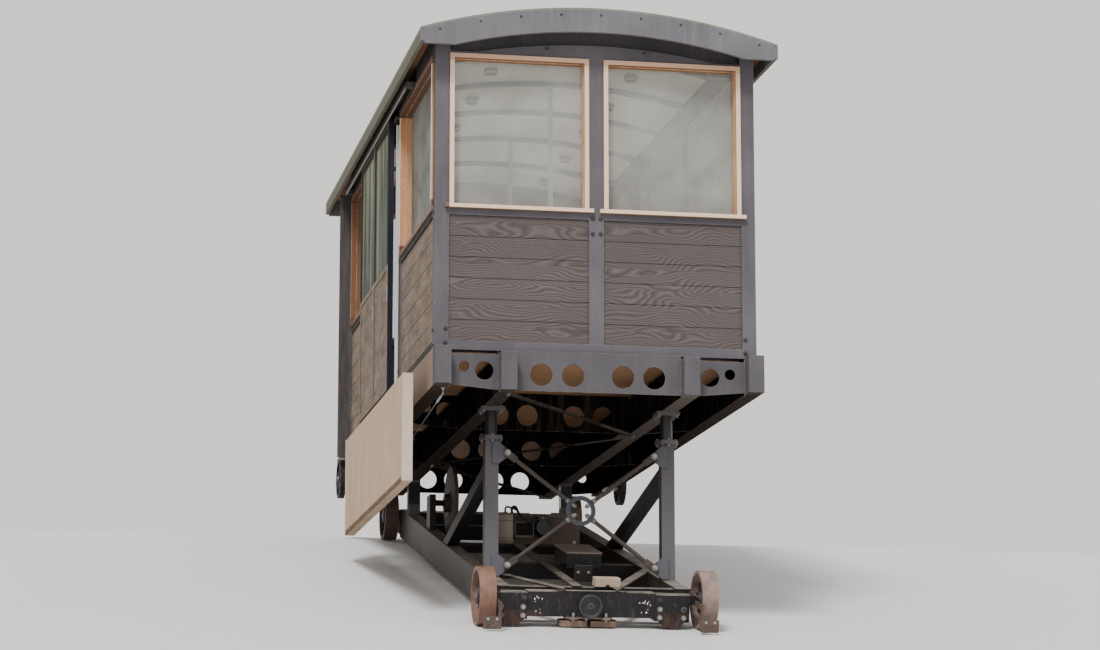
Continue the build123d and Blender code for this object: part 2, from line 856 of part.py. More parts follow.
def floor_bracing():
    """Flat bars that cross from one inner beam to the other under the plates, with gussets at their ends."""
    inner = inner_beam_centre - floor_beam_width / 2
    places = floor_plate_places()
    top = inner_beam_bottom
    bars = []
    half = brace_gusset / 2
    for step in range(floor_plate_count - 1):
        side = -1 if step % 2 == 0 else 1
        start = (side * inner_beam_centre, places[step])
        end = (-side * inner_beam_centre, places[step + 1])
        bars.append(flat(strip(start, end, brace_width), top - brace_thickness, brace_thickness))
    for step in range(1, floor_plate_count - 1):
        side = 1 if step % 2 else -1
        x = side * (inner - half / 2)
        bars.append(flat(Pos(x, places[step]) * Rectangle(half, brace_gusset), top - 2 * brace_thickness,
                         brace_thickness))
    return group(bars)


def end_bays():
    """Start and end of the two bays of an end wall."""
    outer = half_width - post_width
    inner = centre_post_width / 2
    return [(-outer, -inner), (inner, outer)]


def left_bays():
    """Start and end of the two glazed bays of the left wall."""
    return [(cabin_front + post_width, cabin_front + front_window_end),
            (cabin_front + doorway_end + door_rear_jamb, cabin_front + left_rear_window_end)]


def right_bays():
    """Start and end of the three glazed bays of the right wall."""
    return [(cabin_front + post_width, cabin_front + front_window_end),
            (cabin_front + middle_window_start, cabin_front + middle_window_start + middle_window_length),
            (cabin_front + rear_window_start, cabin_rear - post_width)]


def end_wall_frame(face, inward):
    """Steel frame of an end wall: posts, rails, an arched head and a set-back gable."""
    outer = half_width - post_width
    half = centre_post_width / 2
    back = face + inward * wall_depth

    def slab(x0, x1, z0, z1):
        return block(x0, x1, face, back, z0, z1)

    post_head = roof_arc_z(half_width, under_radius, under_crown)
    post = block(outer, half_width, face, face + inward * post_width, floor_top, post_head)
    pieces = mirrored(post)
    pieces.append(slab(-outer, outer, floor_top, panel_bottom))
    pieces.append(slab(-half, half, panel_bottom, window_top))
    for start, end in end_bays():
        pieces.append(slab(start, end, panel_top, window_bottom))
    least = window_top + head_least
    crown = window_top + head_rise
    span = sqrt(head_radius ** 2 - (head_radius - head_rise + head_least) ** 2)
    sides = Polyline((-span, least), (-outer, least), (-outer, window_top), (outer, window_top),
                     (outer, least), (span, least))
    head = make_face(sides + ThreePointArc((span, least), (0, crown), (-span, least)))
    start = min(face, back - inward * gable_thickness)
    pieces.append(across(head, start, wall_depth - gable_thickness))
    gable = arch_face(outer, window_top, under_radius, under_crown)
    pieces.append(across(gable, min(back, back - inward * gable_thickness), gable_thickness))
    return group(pieces)


def side_wall_frame(side, bays, posts):
    """Steel frame of a side wall between the corner posts."""
    outer = side * half_width
    inner = side * (half_width - wall_depth)
    start = cabin_front + post_width
    end = cabin_rear - post_width
    top = roof_arc_z(half_width, under_radius, under_crown)
    pieces = [block(outer, inner, start, end, floor_top, panel_bottom),
              block(outer, inner, start, end, window_top, top)]
    pieces += [block(outer, inner, y0, y1, panel_bottom, window_top) for y0, y1 in posts]
    pieces += [block(outer, inner, y0, y1, panel_top, window_bottom) for y0, y1 in bays]
    return pieces


def left_wall_frame():
    """Frame of the doorway side with a batten on edge behind its rear window."""
    posts = [(cabin_front + front_window_end, cabin_front + doorway_start),
             (cabin_front + doorway_end, cabin_front + doorway_end + door_rear_jamb)]
    pieces = side_wall_frame(-1, left_bays(), posts)
    start = cabin_front + left_rear_window_end + sill_lap + batten_gap
    end = start + batten_width
    outer = -half_width - batten_proud
    batten = block(outer, -half_width, start, end, floor_top, roof_edge_z - eave_depth)
    batten += block(outer, -half_width - outer_beam_overhang, start, end, floor_bottom + batten_foot_rise,
                    floor_top)
    return group(pieces + [batten])


def right_wall_frame():
    """Frame of the closed side."""
    bays = right_bays()
    posts = [(bays[step][1], bays[step + 1][0]) for step in range(len(bays) - 1)]
    return group(side_wall_frame(1, bays, posts))


def planked_panel(slab, start, end, top, face, inward):
    """One panel of level planks with a groove at every joint."""
    first = face + inward * panel_inset
    last = first + inward * panel_thickness
    panel = slab(rect(start, end, panel_bottom, top), min(first, last), panel_thickness)
    count = round(plank_count * (top - panel_bottom) / panel_height)
    pitch = (top - panel_bottom) / count
    cut_end = first + inward * groove_depth
    for step in range(1, count):
        z = panel_bottom + pitch * step
        groove = rect(start, end, z - plank_groove / 2, z + plank_groove / 2)
        panel -= slab(groove, min(first, cut_end), groove_depth)
    return panel


def window_bars(slab, start, end, face, inward, sill_proud):
    """Stepped timber bars at the sides and head of one window, and the sill that they stand on."""
    first = face - inward * frame_proud
    middle = first + inward * frame_depth / 2
    last = first + inward * frame_depth
    sill_top = window_bottom + sill_height

    def part(u0, u1, v0, v1, a, b):
        return slab(rect(u0, u1, v0, v1), min(a, b), abs(b - a))

    outer = frame_width
    inner = frame_width + frame_step
    pieces = [part(start, end, window_top - outer, window_top, first, last)
              + part(start + outer, end - outer, window_top - inner, window_top - outer, middle, last)]
    for u0, u1, step0, step1 in ((start, start + outer, start + outer, start + inner),
                                 (end - outer, end, end - inner, end - outer)):
        pieces.append(part(u0, u1, sill_top, window_top - outer, first, last)
                      + part(step0, step1, sill_top, window_top - inner, middle, last))
    sill = part(start, end, window_bottom, sill_top, face, last)
    sill += part(start - sill_lap, end + sill_lap, window_bottom, sill_top, face - inward * sill_proud, face)
    pieces.append(sill)
    return pieces


def window_pane(slab, start, end, face, inward):
    """The glass behind one window's stepped bars. It stands in the sill's level."""
    inset = frame_width
    pane = rect(start + inset, end - inset, window_bottom, window_top - inset)
    first = face + inward * (frame_depth - frame_proud)
    return slab(pane, min(first, first + inward * glass_thickness), glass_thickness)


def roof_shell():
    """Arched roof sheet over the walls."""
    low = roof_edge_z - roof_rise
    outer = arch_face(roof_half, low, roof_radius, roof_crown_z)
    inner = arch_face(roof_half + cut_margin, low - roof_rise, under_radius, under_crown)
    front = cabin_front - roof_end_overhang
    return across(outer - inner, front, cabin_length + 2 * roof_end_overhang)


def roof_trim():
    """Arched fascia boards at the ends and eave boards along the sides."""
    half = roof_half - eave_thickness
    bottom = roof_edge_z - fascia_depth
    crown = roof_crown_z - fascia_crown_depth
    inner_end = half - fascia_flat
    top_edge = roof_arc_z(half, under_radius, under_crown)
    lines = Polyline((-inner_end, bottom), (-half, bottom), (-half, top_edge))
    lines += ThreePointArc((-half, top_edge), (0, under_crown), (half, top_edge))
    lines += Polyline((half, top_edge), (half, bottom), (inner_end, bottom))
    lines += ThreePointArc((inner_end, bottom), (0, crown), (-inner_end, bottom))
    board = make_face(lines)
    boards = []
    joint = fascia_joint / 2
    for end in (-1, 1):
        face = cabin_front - roof_end_overhang if end < 0 else cabin_rear + roof_end_overhang
        start = min(face, face - end * fascia_thickness)
        groove = block(-joint, joint, face, face - end * fascia_joint_depth, bottom, roof_crown_z)
        boards.append(across(board, start, fascia_thickness) - groove)
    top = roof_arc_z(roof_half, under_radius, under_crown)
    eave = block(half, roof_half, cabin_front - roof_end_overhang, cabin_rear + roof_end_overhang,
                 roof_edge_z - eave_depth, top)
    return group(boards + mirrored(eave))


def roof_hoops():
    """Arched ribs under the roof between the side walls."""
    half = half_width - wall_depth
    low = roof_edge_z - roof_rise
    hoop = arch_face(half, low, under_radius, under_crown)
    hoop -= arch_face(half + cut_margin, low - roof_rise, under_radius - hoop_depth, under_crown - hoop_depth)
    return group([across(hoop, cabin_front + hoop_pitch * (step + 1) - hoop_width / 2, hoop_width)
                  for step in range(hoop_count)])


def door_leaf(end):
    """Frame, panel and glass of one sliding leaf. The front leaf is on the downhill side."""
    half_gap = leaf_meeting_gap / 2
    start = door_centre - half_gap - leaf_length if end < 0 else door_centre + half_gap
    stop = start + leaf_length
    glass_bottom = leaf_bottom + leaf_glass_rise
    panel_head = glass_bottom - leaf_middle_rail
    first = leaf_inner_x - leaf_thickness
    bars = [
        # start and end along the wall, bottom and top
        (start, start + leaf_stile, leaf_bottom, leaf_top),
        (stop - leaf_stile, stop, leaf_bottom, leaf_top),
        (start + leaf_stile, stop - leaf_stile, leaf_bottom, leaf_bottom + leaf_rail),
        (start + leaf_stile, stop - leaf_stile, panel_head, glass_bottom),
        (start + leaf_stile, stop - leaf_stile, leaf_top - leaf_rail, leaf_top),
    ]
    frame = join([along(rect(*sizes), first, leaf_thickness) for sizes in bars])
    middle_x = leaf_inner_x - leaf_thickness / 2
    board = along(rect(start + leaf_stile, stop - leaf_stile, leaf_bottom + leaf_rail, panel_head),
                  first + leaf_panel_inset, panel_thickness)
    glass = along(rect(start + leaf_stile, stop - leaf_stile, glass_bottom, leaf_top - leaf_rail),
                  first + leaf_glass_inset, glass_thickness)
    half = hanger_thickness / 2
    for y in (start + hanger_inset, stop - hanger_inset):
        near = y - hanger_length / 2
        far = y + hanger_length / 2
        frame += block(middle_x - half, middle_x + half, near, far, leaf_top, leaf_top + hanger_height)
        frame += block(middle_x - half, -half_width - half, near, far, runner_top + seat_gap,
                       leaf_top + hanger_height)
    return frame, board, glass


def door_track():
    """Runner bar that the leaves hang from, under a hood, and the strip beside the doorway."""
    hood_bottom = leaf_top + hanger_height + track_gap
    x0 = leaf_inner_x - leaf_thickness - track_gap - track_sheet
    length = 2 * (leaf_length + leaf_travel + track_end)
    y0 = door_centre - length / 2
    y1 = y0 + length
    hood = block(x0, -half_width, y0, y1, hood_bottom, hood_bottom + track_sheet)
    lip = block(x0, x0 + track_sheet, y0, y1, hood_bottom - track_height, hood_bottom)
    runner = block(-half_width - runner_width, -half_width, y0, y1, runner_top - runner_height, runner_top)
    y = cabin_front + strip_front
    edge = block(-half_width - strip_proud, -half_width, y, y + strip_width, panel_bottom,
                 runner_top - runner_height - seat_gap)
    return group([hood + lip, runner, edge])


def apron_board():
    """Upright board below the doorway, outside the floor beam."""
    outer = -half_width - apron_offset
    y0 = cabin_front + apron_front
    top = floor_bottom + apron_top_rise
    return block(outer, outer + apron_thickness, y0, y0 + apron_length, top - apron_height, top)


def apron_brackets():
    """Arms from the outer floor beam to the back of the apron board."""
    x0 = -half_width - apron_offset + apron_thickness
    x1 = -half_width - outer_beam_overhang
    z = floor_bottom + bracket_rise
    arms = []
    for place in apron_bracket_places:
        y = cabin_front + apron_front + place
        arms.append(block(x0, x1, y - bracket_width / 2, y + bracket_width / 2, z, z + bracket_height))
    return group(arms)


def side_wheel_axles():
    """Stub axles of the small side wheels with their plates on the floor beams."""
    face = half_width + outer_beam_overhang
    y = cabin_rear - side_wheel_inset
    z = floor_bottom + side_wheel_rise
    reach = side_wheel_gap + side_wheel_width + side_axle_end
    pin = turned(face + reach / 2, y, z, side_axle_diameter, reach)
    half = side_plate_length / 2
    low = z - side_axle_diameter
    strap = block(face - floor_beam_width, face, y - half, y + half, low, floor_bottom)
    return group(mirrored(pin + strap))


def grab_poles():
    """Upright poles between the deck and the hoops."""
    top = under_crown - hoop_depth - seat_gap
    poles = []
    for number in pole_hoops:
        y = cabin_front + hoop_pitch * number
        pole = Pos(0, y, (deck_top + top) / 2) * Cylinder(pole_diameter / 2, top - deck_top)
        foot_place = Pos(0, y, deck_top + pole_foot_height / 2)
        poles.append(pole + foot_place * Cylinder(pole_foot / 2, pole_foot_height))
    return group(poles)


def build():
    """All nodes of the car by name."""
    nodes = {}
    for side, side_name in ((-1, "left"), (1, "right")):
        for end, end_name in ((-1, "front"), (1, "rear")):
            nodes[f"wheel_{end_name}_{side_name}"] = running_wheel(side, end)
        nodes[f"side_wheel_{side_name}"] = side_wheel(side)
    nodes["chassis_frame"] = chassis_frame()
    nodes["chassis_flats"] = chassis_flats()
    nodes["headstocks"] = headstocks()
    nodes["buffer"] = buffer()
    nodes["rail_guide"] = rail_guide()
    nodes["wheel_scrapers"] = wheel_scrapers()
    nodes["floor_posts"] = group(mirrored(front_post()) + mirrored(rear_post()))
    nodes["raking_struts"] = raking_struts()
    nodes["cross_tie"] = cross_tie()
    nodes["pack_bed"] = pack_bed()
    nodes["rope_disc"] = rope_disc()
    nodes["disc_pedestal"] = disc_pedestal()
    nodes["brake_unit"] = brake_unit()
    nodes["control_box"] = control_box()
    nodes["timber_block"] = timber_block()
    nodes["floor_beams"] = floor_beams()
    nodes["floor_plates"] = floor_plates()
    nodes["floor_deck"] = floor_deck()
    nodes["floor_bracing"] = floor_bracing()
    nodes["side_wheel_axles"] = side_wheel_axles()
    nodes["front_wall_frame"] = end_wall_frame(cabin_front, 1)
    nodes["rear_wall_frame"] = end_wall_frame(cabin_rear, -1)
    nodes["left_wall_frame"] = left_wall_frame()
    nodes["right_wall_frame"] = right_wall_frame()
    walls = [
        # bays, slab function, outer face, its inward direction and how proud the sills stand
        (end_bays(), across, cabin_front, 1, end_sill_proud),
        (end_bays(), across, cabin_rear, -1, end_sill_proud),
        (left_bays(), along, -half_width, 1, side_sill_proud),
        (right_bays(), along, half_width, -1, side_sill_proud),
    ]
    panels = []
    bars = []
    panes = []
    for bays, slab, face, inward, sill_proud in walls:
        for start, end in bays:
            panels.append(planked_panel(slab, start, end, panel_top, face, inward))
            bars += window_bars(slab, start, end, face, inward, sill_proud)
            panes.append(window_pane(slab, start, end, face, inward))
    closed_start = cabin_front + left_rear_window_end
    panels.append(planked_panel(along, closed_start, cabin_rear - post_width, window_top, -half_width, 1))
    nodes["wall_panels"] = group(panels)
    nodes["window_frames"] = group(bars)
    nodes["window_glass"] = group(panes)
    nodes["roof_shell"] = roof_shell()
    nodes["roof_trim"] = roof_trim()
    nodes["roof_hoops"] = roof_hoops()
    for end, end_name in ((-1, "front"), (1, "rear")):
        frame, board, glass = door_leaf(end)
        nodes[f"door_{end_name}_leaf"] = frame
        nodes[f"door_{end_name}_panel"] = board
        nodes[f"door_{end_name}_glass"] = glass
    nodes["door_track"] = door_track()
    nodes["apron_board"] = apron_board()
    nodes["apron_brackets"] = apron_brackets()
    nodes["grab_poles"] = grab_poles()
    return nodes


if __name__ == "__main__":
    os.makedirs("parts", exist_ok=True)
    for name, shape in build().items():
        export_step(shape, f"parts/{name}.step")
        print(name, len(shape.solids()), round(shape.volume))
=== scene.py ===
import math

import bmesh
import bpy
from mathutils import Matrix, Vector


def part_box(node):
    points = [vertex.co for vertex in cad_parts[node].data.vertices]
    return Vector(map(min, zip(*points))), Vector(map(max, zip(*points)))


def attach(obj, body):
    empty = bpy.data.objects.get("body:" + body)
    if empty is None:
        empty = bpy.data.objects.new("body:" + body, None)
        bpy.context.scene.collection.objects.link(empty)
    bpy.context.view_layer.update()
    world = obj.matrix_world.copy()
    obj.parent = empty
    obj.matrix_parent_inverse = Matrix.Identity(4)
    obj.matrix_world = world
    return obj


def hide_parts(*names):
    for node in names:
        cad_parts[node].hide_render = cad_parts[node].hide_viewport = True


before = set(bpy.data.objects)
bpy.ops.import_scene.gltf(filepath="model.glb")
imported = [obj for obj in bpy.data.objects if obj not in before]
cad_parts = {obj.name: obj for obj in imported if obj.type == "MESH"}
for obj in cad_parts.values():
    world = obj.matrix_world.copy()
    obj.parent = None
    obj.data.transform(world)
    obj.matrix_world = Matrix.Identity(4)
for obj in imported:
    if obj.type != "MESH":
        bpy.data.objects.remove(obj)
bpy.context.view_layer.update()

# Looks of the inclined funicular car, in metres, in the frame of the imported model.
# +X is right as seen from downhill, +Y is level uphill, +Z is up.

# Camera
IMAGE_WIDTH = 1100
FOCAL_PIXELS = 3208.0
SENSOR_WIDTH = 36.0
EYE = Vector((-4.597, -25.238, -2.761))
EYE_YAW = math.radians(10.666)
EYE_PITCH = math.radians(10.691)

# Floor of the studio
FLOOR_LOW = -2.9
FLOOR_HIGH_START = 3.0
FLOOR_REACH = 120.0
FLOOR_STEP = 0.25
FLOOR_FOOT_WHEELS = -3.4

# Lights
STUDIO_STRENGTH = 1.1
KEY_ENERGY = 3.3
KEY_ANGLE = math.radians(14.0)
FILL_ENERGY = 19.0
FILL_WIDTH = 1.9

# Finish
FACING_LIMIT = -0.6
SMOOTH_ANGLE = math.radians(38.0)
ROUNDING_ANGLE = math.radians(40.0)

# Colours that several materials share
BLACK = (0.0, 0.0, 0.0, 1.0)
WHITE = (1.0, 1.0, 1.0, 1.0)
DUST = (0.27, 0.24, 0.205, 1.0)
# Near black laid over surfaces as painted shade
PAINTED_SHADE_BLACK = (0.006, 0.005, 0.005, 1.0)

# Places on the car. Cabin places are given from its front wall and from a level below its floor.
SLOPE = math.radians(13.5)
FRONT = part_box("front_wall_frame")[0].y
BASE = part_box("floor_beams")[0].z - 1.760
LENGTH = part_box("rear_wall_frame")[1].y - FRONT
WALL_X = 1.2
OUTSIDE = 0.0125
PROUD = 0.0015
END_PLATE = 0.036
DECK_EDGE = 0.070
TRIM_DEPTH = 0.033
ROOF_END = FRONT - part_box("roof_trim")[0].y
ROOF_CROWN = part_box("roof_shell")[1].z - BASE
ROOF_SHEET = 0.015
ROOF_RADIUS = 4.4536 - ROOF_SHEET
EAVE_X = 1.3145
HOOPS = 5
HOOP_HALF = 0.0265
CEILING_HALF = 1.09
CEILING_BOARDS = 18
PLANK_HEIGHT = 0.155
WINDOW_HEAD = 4.230
WINDOW_SILL = 3.200
AXLE = 2.6
HEADSTOCK_HALF = 0.065
WHEEL_RIM_INNER = 0.176
POST_X = 0.667
POST_BACK = 0.674
TIE_BACK = 0.616
PIPE_LOW = 1.530
PIPE_HIGH = 1.735
PIN_X = 0.555
PIN_HIGH = 1.414
PIN_LOW = 0.578
PIN_MIDDLE = (PIN_HIGH + PIN_LOW) / 2
PLATE_PLACES = [-0.040 + 5.568 * k / 3 for k in range(4)]
BRACING_X = 0.655
CONTROL_START = -1.3167
BRACKET_S = -2.2217
RIGHT = Vector((1, 0, 0))
LEFT = Vector((-1, 0, 0))
FORWARD = Vector((0, -1, 0))
BACKWARD = Vector((0, 1, 0))
UP = Vector((0, 0, 1))
DOWN = Vector((0, 0, -1))


def rgb(red, green, blue):
    return (red, green, blue, 1.0)


def shade(tint, factor):
    """The tint made lighter or darker."""
    return tuple(min(channel * factor, 1.0) for channel in tint[:3]) + (1.0,)


class Shader:
    """Short calls for building one procedural material."""

    def __init__(self, name, roughness=0.6, metallic=0.0, gloss=0.5):
        self.material = bpy.data.materials.new(name)
        self.material.use_nodes = True
        self.tree = self.material.node_tree
        self.tree.nodes.clear()
        self.out = self.node("OutputMaterial").inputs["Surface"]
        self.surface = self.node("BsdfPrincipled", {"Roughness": roughness, "Metallic": metallic,
                                                    "Specular IOR Level": gloss})
        self.feed(self.out, self.surface.outputs[0])
        self.place = self.node("TexCoord").outputs["Object"]

    def node(self, kind, inputs=None, **settings):
        """A new node with its plain settings and its inputs by name or number."""
        made = self.tree.nodes.new("ShaderNode" + kind)
        for key, value in settings.items():
            setattr(made, key, value)
        for key, value in (inputs or {}).items():
            self.feed(made.inputs[key], value)
        return made

    def feed(self, socket, value):
        """Sets a socket's value, or links it to another node's output."""
        if isinstance(value, bpy.types.NodeSocket):
            self.tree.links.new(value, socket)
        else:
            socket.default_value = value

    def stretched(self, scale):
        """Object coordinates with their own scale on each axis."""
        return self.node("Mapping", {"Vector": self.place, "Scale": scale}).outputs[0]

    def noise(self, scale, detail=4.0, roughness=0.55, distortion=0.0, place=None):
        """Noise between 0 and 1."""
        return self.node("TexNoise", {"Vector": place or self.place, "Scale": scale, "Detail": detail,
                                      "Roughness": roughness, "Distortion": distortion}).outputs["Fac"]

    def grain(self, scale, detail=5.0, roughness=0.7, distortion=0.2):
        """Noise drawn out by its own scale on each axis."""
        return self.noise(1.0, detail, roughness, distortion, self.stretched(scale))

    def ramp(self, value, low, high, start=BLACK, end=WHITE):
        """Maps the stretch between low and high onto two colours."""
        made = self.node("ValToRGB", {0: value})
        for stop, place, tint in zip(made.color_ramp.elements, (low, high), (start, end)):
            stop.position = place
            stop.color = tint
        return made.outputs[0]

    def patch(self, low, high, *noise):
        """Patches of noise, cut between low and high."""
        return self.ramp(self.noise(*noise), low, high)

    def math(self, operation, first, second=0.0, third=0.0):
        """One arithmetic step."""
        return self.node("Math", {0: first, 1: second, 2: third}, operation=operation).outputs[0]

    def times(self, first, second):
        return self.math("MULTIPLY", first, second)

    def plus(self, first, second):
        return self.math("ADD", first, second)

    def minus(self, first, second):
        return self.math("SUBTRACT", first, second)

    def less(self, value, limit):
        return self.math("LESS_THAN", value, limit)

    def more(self, value, limit):
        return self.math("GREATER_THAN", value, limit)

    def size(self, value):
        return self.math("ABSOLUTE", value)

    def reach(self, first, second):
        """Distance from the middle, from two offsets."""
        return self.math("SQRT", self.plus(self.times(first, first), self.times(second, second)))

    def between(self, value, low, high):
        """One where the value lies between two limits."""
        return self.times(self.more(value, low), self.less(value, high))

    def mix(self, factor, first, second):
        """Mixes two colours."""
        return self.node("Mix", {0: factor, 6: first, 7: second}, data_type="RGBA").outputs[2]

    def over(self, tint, mask, amount, top):
        """The tint with another laid over it where the mask is, at most by the amount."""
        return self.mix(self.times(mask, amount), tint, top)

    def axes(self, wanted="XYZ"):
        """Coordinates of the object's own space, by their letters."""
        parts = self.node("SeparateXYZ", {0: self.place}).outputs
        return [parts[letter] for letter in wanted]

    def looking(self, axis):
        """How far a face looks along one axis."""
        return self.node("SeparateXYZ", {0: self.node("NewGeometry").outputs["Normal"]}).outputs[axis]

    def facing(self, axis):
        """One on faces that look left (X), to the front (Y) or down (Z), nothing on the others."""
        return self.less(self.looking(axis), FACING_LIMIT)

    def edge_wear(self, radius):
        """One along convex and concave edges, nothing on open faces."""
        rounded = self.node("Bevel", {"Radius": radius}, samples=4).outputs[0]
        plain = self.node("NewGeometry").outputs["True Normal"]
        turn = self.node("VectorMath", {0: rounded, 1: plain}, operation="DOT_PRODUCT").outputs["Value"]
        return self.ramp(turn, 0.86, 0.985, WHITE, BLACK)

    def rubbed(self, radius, patch):
        """Wear along the edges, broken up by a patch."""
        return self.times(self.edge_wear(radius), patch)

    def settled(self, tint, amount):
        """The tint with dust lying on the faces that look up."""
        upward = self.ramp(self.looking("Z"), 0.5, 0.9)
        return self.over(tint, self.times(upward, self.patch(0.25, 0.6, 7.0, 5.0, 0.6)), amount, DUST)

    def wood(self, scale, light, dark):
        """Plain wood with its grain along the axis of the smallest scale."""
        return self.mix(self.ramp(self.grain(scale), 0.3, 0.75), light, dark)

    def softwood(self):
        """Fine grain, the figure it gives and its long upright streaks."""
        grain = self.grain((60.0, 60.0, 60.0), 5.0, 0.65, 0.6)
        streaks = self.grain((14.0, 14.0, 3.0), 4.0, 0.6, 0.3)
        return grain, self.ramp(grain, 0.3, 0.75), self.ramp(streaks, 0.4, 0.8)

    def rough(self, mask, amount, start):
        """Roughness from a start, changed by an amount where the mask is."""
        self.feed(self.surface.inputs["Roughness"], self.math("MULTIPLY_ADD", mask, amount, start))

    def done(self, tint, height, distance, strength, radius=0.0):
        """The finished material with its colour, relief and softly rounded edges."""
        relief = self.node("Bump", {"Height": height, "Distance": distance, "Strength": strength})
        if radius:
            self.feed(relief.inputs["Normal"], self.node("Bevel", {"Radius": radius}, samples=6).outputs[0])
        self.feed(self.surface.inputs["Base Color"], tint)
        self.feed(self.surface.inputs["Normal"], relief.outputs[0])
        return self.material


def painted_steel(name, base, worn, dust, roughness, edge=0.003, wear=0.5, settle=0.0, change=None, gloss=0.06):
    """Brushed-on paint with faint blotches, dust, runs and worn edges. A change may retint it by place."""
    shader = Shader(name, roughness, gloss=gloss)
    blotch = shader.noise(1.7, 5.0)
    tint = shader.mix(shader.ramp(blotch, 0.35, 0.7), base, shade(base, 0.72))
    if change:
        tint = change(shader, tint)
    streak = shader.ramp(shader.noise(2.5, 3.0, place=shader.stretched((9.0, 9.0, 0.7))), 0.5, 0.85)
    tint = shader.over(tint, shader.patch(0.60, 0.76, 38.0, 6.0, 0.7), 0.35, dust)
    tint = shader.over(tint, streak, 0.3, dust)
    tint = shader.over(tint, shader.patch(0.70, 0.72, 90.0, 3.0, 0.8), 0.6, worn)
    tint = shader.over(tint, shader.rubbed(edge * 2.5, shader.patch(0.42, 0.62, 24.0, 4.0, 0.7)), wear, worn)
    if settle:
        tint = shader.settled(tint, settle)
    shader.rough(blotch, 0.25, roughness - 0.12)
    return shader.done(tint, shader.noise(160.0, 3.0, 0.6), 0.0006, 0.5, edge)


def rusty_paint(name, paint, rust, deep, amount, roughness, settle=0.0, front=1.0, gloss=0.5, change=None):
    """Old paint through which rust breaks in patches, denser near edges. Front faces may be darkened with near-black
    painted shade.
    """
    shader = Shader(name, roughness, gloss=gloss)
    grit = shader.noise(60.0, 5.0, 0.7)
    broken = shader.patch(0.66 - amount, 0.80 - amount, 5.5, 7.0, 0.68, 0.4)
    tint = shader.mix(shader.patch(0.35, 0.7, 2.0, 4.0), paint, shade(paint, 0.55))
    tint = shader.mix(broken, tint, shader.mix(shader.ramp(grit, 0.35, 0.7), rust, deep))
    tint = shader.over(tint, shader.rubbed(0.006, shader.ramp(grit, 0.40, 0.62)), 0.7, shade(rust, 1.5))
    if change:
        tint = change(shader, tint)
    # painted shade on the faces that look to the front
    if front < 1.0:
        tint = shader.over(tint, shader.facing("Y"), 1.0 - front, PAINTED_SHADE_BLACK)
    if settle:
        tint = shader.settled(tint, settle)
    shader.rough(broken, 0.3, roughness)
    relief = shader.plus(shader.times(broken, 0.5), shader.times(grit, 0.5))
    return shader.done(tint, relief, 0.0010, 0.6, 0.003)


def wood_planks(name, base, line_tint, glint):
    """Brown-grey stained boards with a fine figure of long arches and a painted highlight along it. Left faces are
    weathered.
    """
    shader = Shader(name, 0.55, gloss=0.0)
    x, y, height = shader.axes()
    run = shader.plus(x, y)
    board = shader.math("FLOOR", shader.math("DIVIDE", height, PLANK_HEIGHT))
    own = shader.node("TexWhiteNoise", {"W": board}, noise_dimensions="1D").outputs["Value"]

    def lane(along, upright, apart):
        """Coordinates along and across a board, with a shift of each board's own."""
        parts = {"X": shader.times(run, along), "Y": shader.times(height, upright), "Z": shader.times(own, apart)}
        return shader.node("CombineXYZ", parts).outputs[0]

    warp = shader.noise(1.0, 1.5, 0.45, 0.2, lane(1.6, 4.2, 40.0))
    rings = shader.math("FRACT", shader.plus(shader.times(height, 46.0), shader.times(warp, 17.0)))
    ridge = shader.size(shader.minus(rings, 0.5))
    line = shader.ramp(ridge, 0.26, 0.49)
    fibre = shader.noise(1.0, 4.0, 0.7, 0.0, lane(5.0, 230.0, 9.0))
    tone = shader.mix(shader.ramp(fibre, 0.3, 0.75), base, shade(base, 0.68))
    tone = shader.over(tone, line, 0.52, line_tint)
    # painted highlight: pale lines between the dark grain lines, the glint of the embossed grain
    tone = shader.over(tone, shader.ramp(ridge, 0.03, 0.20, WHITE, BLACK), 0.22, glint)
    tone = shader.over(tone, shader.ramp(own, 0.0, 1.0), 0.22, shade(base, 0.6))
    tone = shader.over(tone, shader.patch(0.35, 0.7, 1.4, 3.0), 0.25, shade(base, 0.55))
    mottle = shader.ramp(shader.grain((9.0, 3.2, 9.0), distortion=0.4), 0.34, 0.68)
    dusty = shader.mix(mottle, rgb(0.270, 0.215, 0.172), rgb(0.130, 0.102, 0.082))
    dusty = shader.over(dusty, shader.ramp(fibre, 0.35, 0.8), 0.6, rgb(0.075, 0.060, 0.050))
    tone = shader.over(tone, shader.facing("X"), 0.85, dusty)
    relief = shader.minus(1.0, shader.plus(shader.times(line, 0.6), shader.times(fibre, 0.3)))
    return shader.done(tone, relief, 0.0014, 0.8, 0.002)


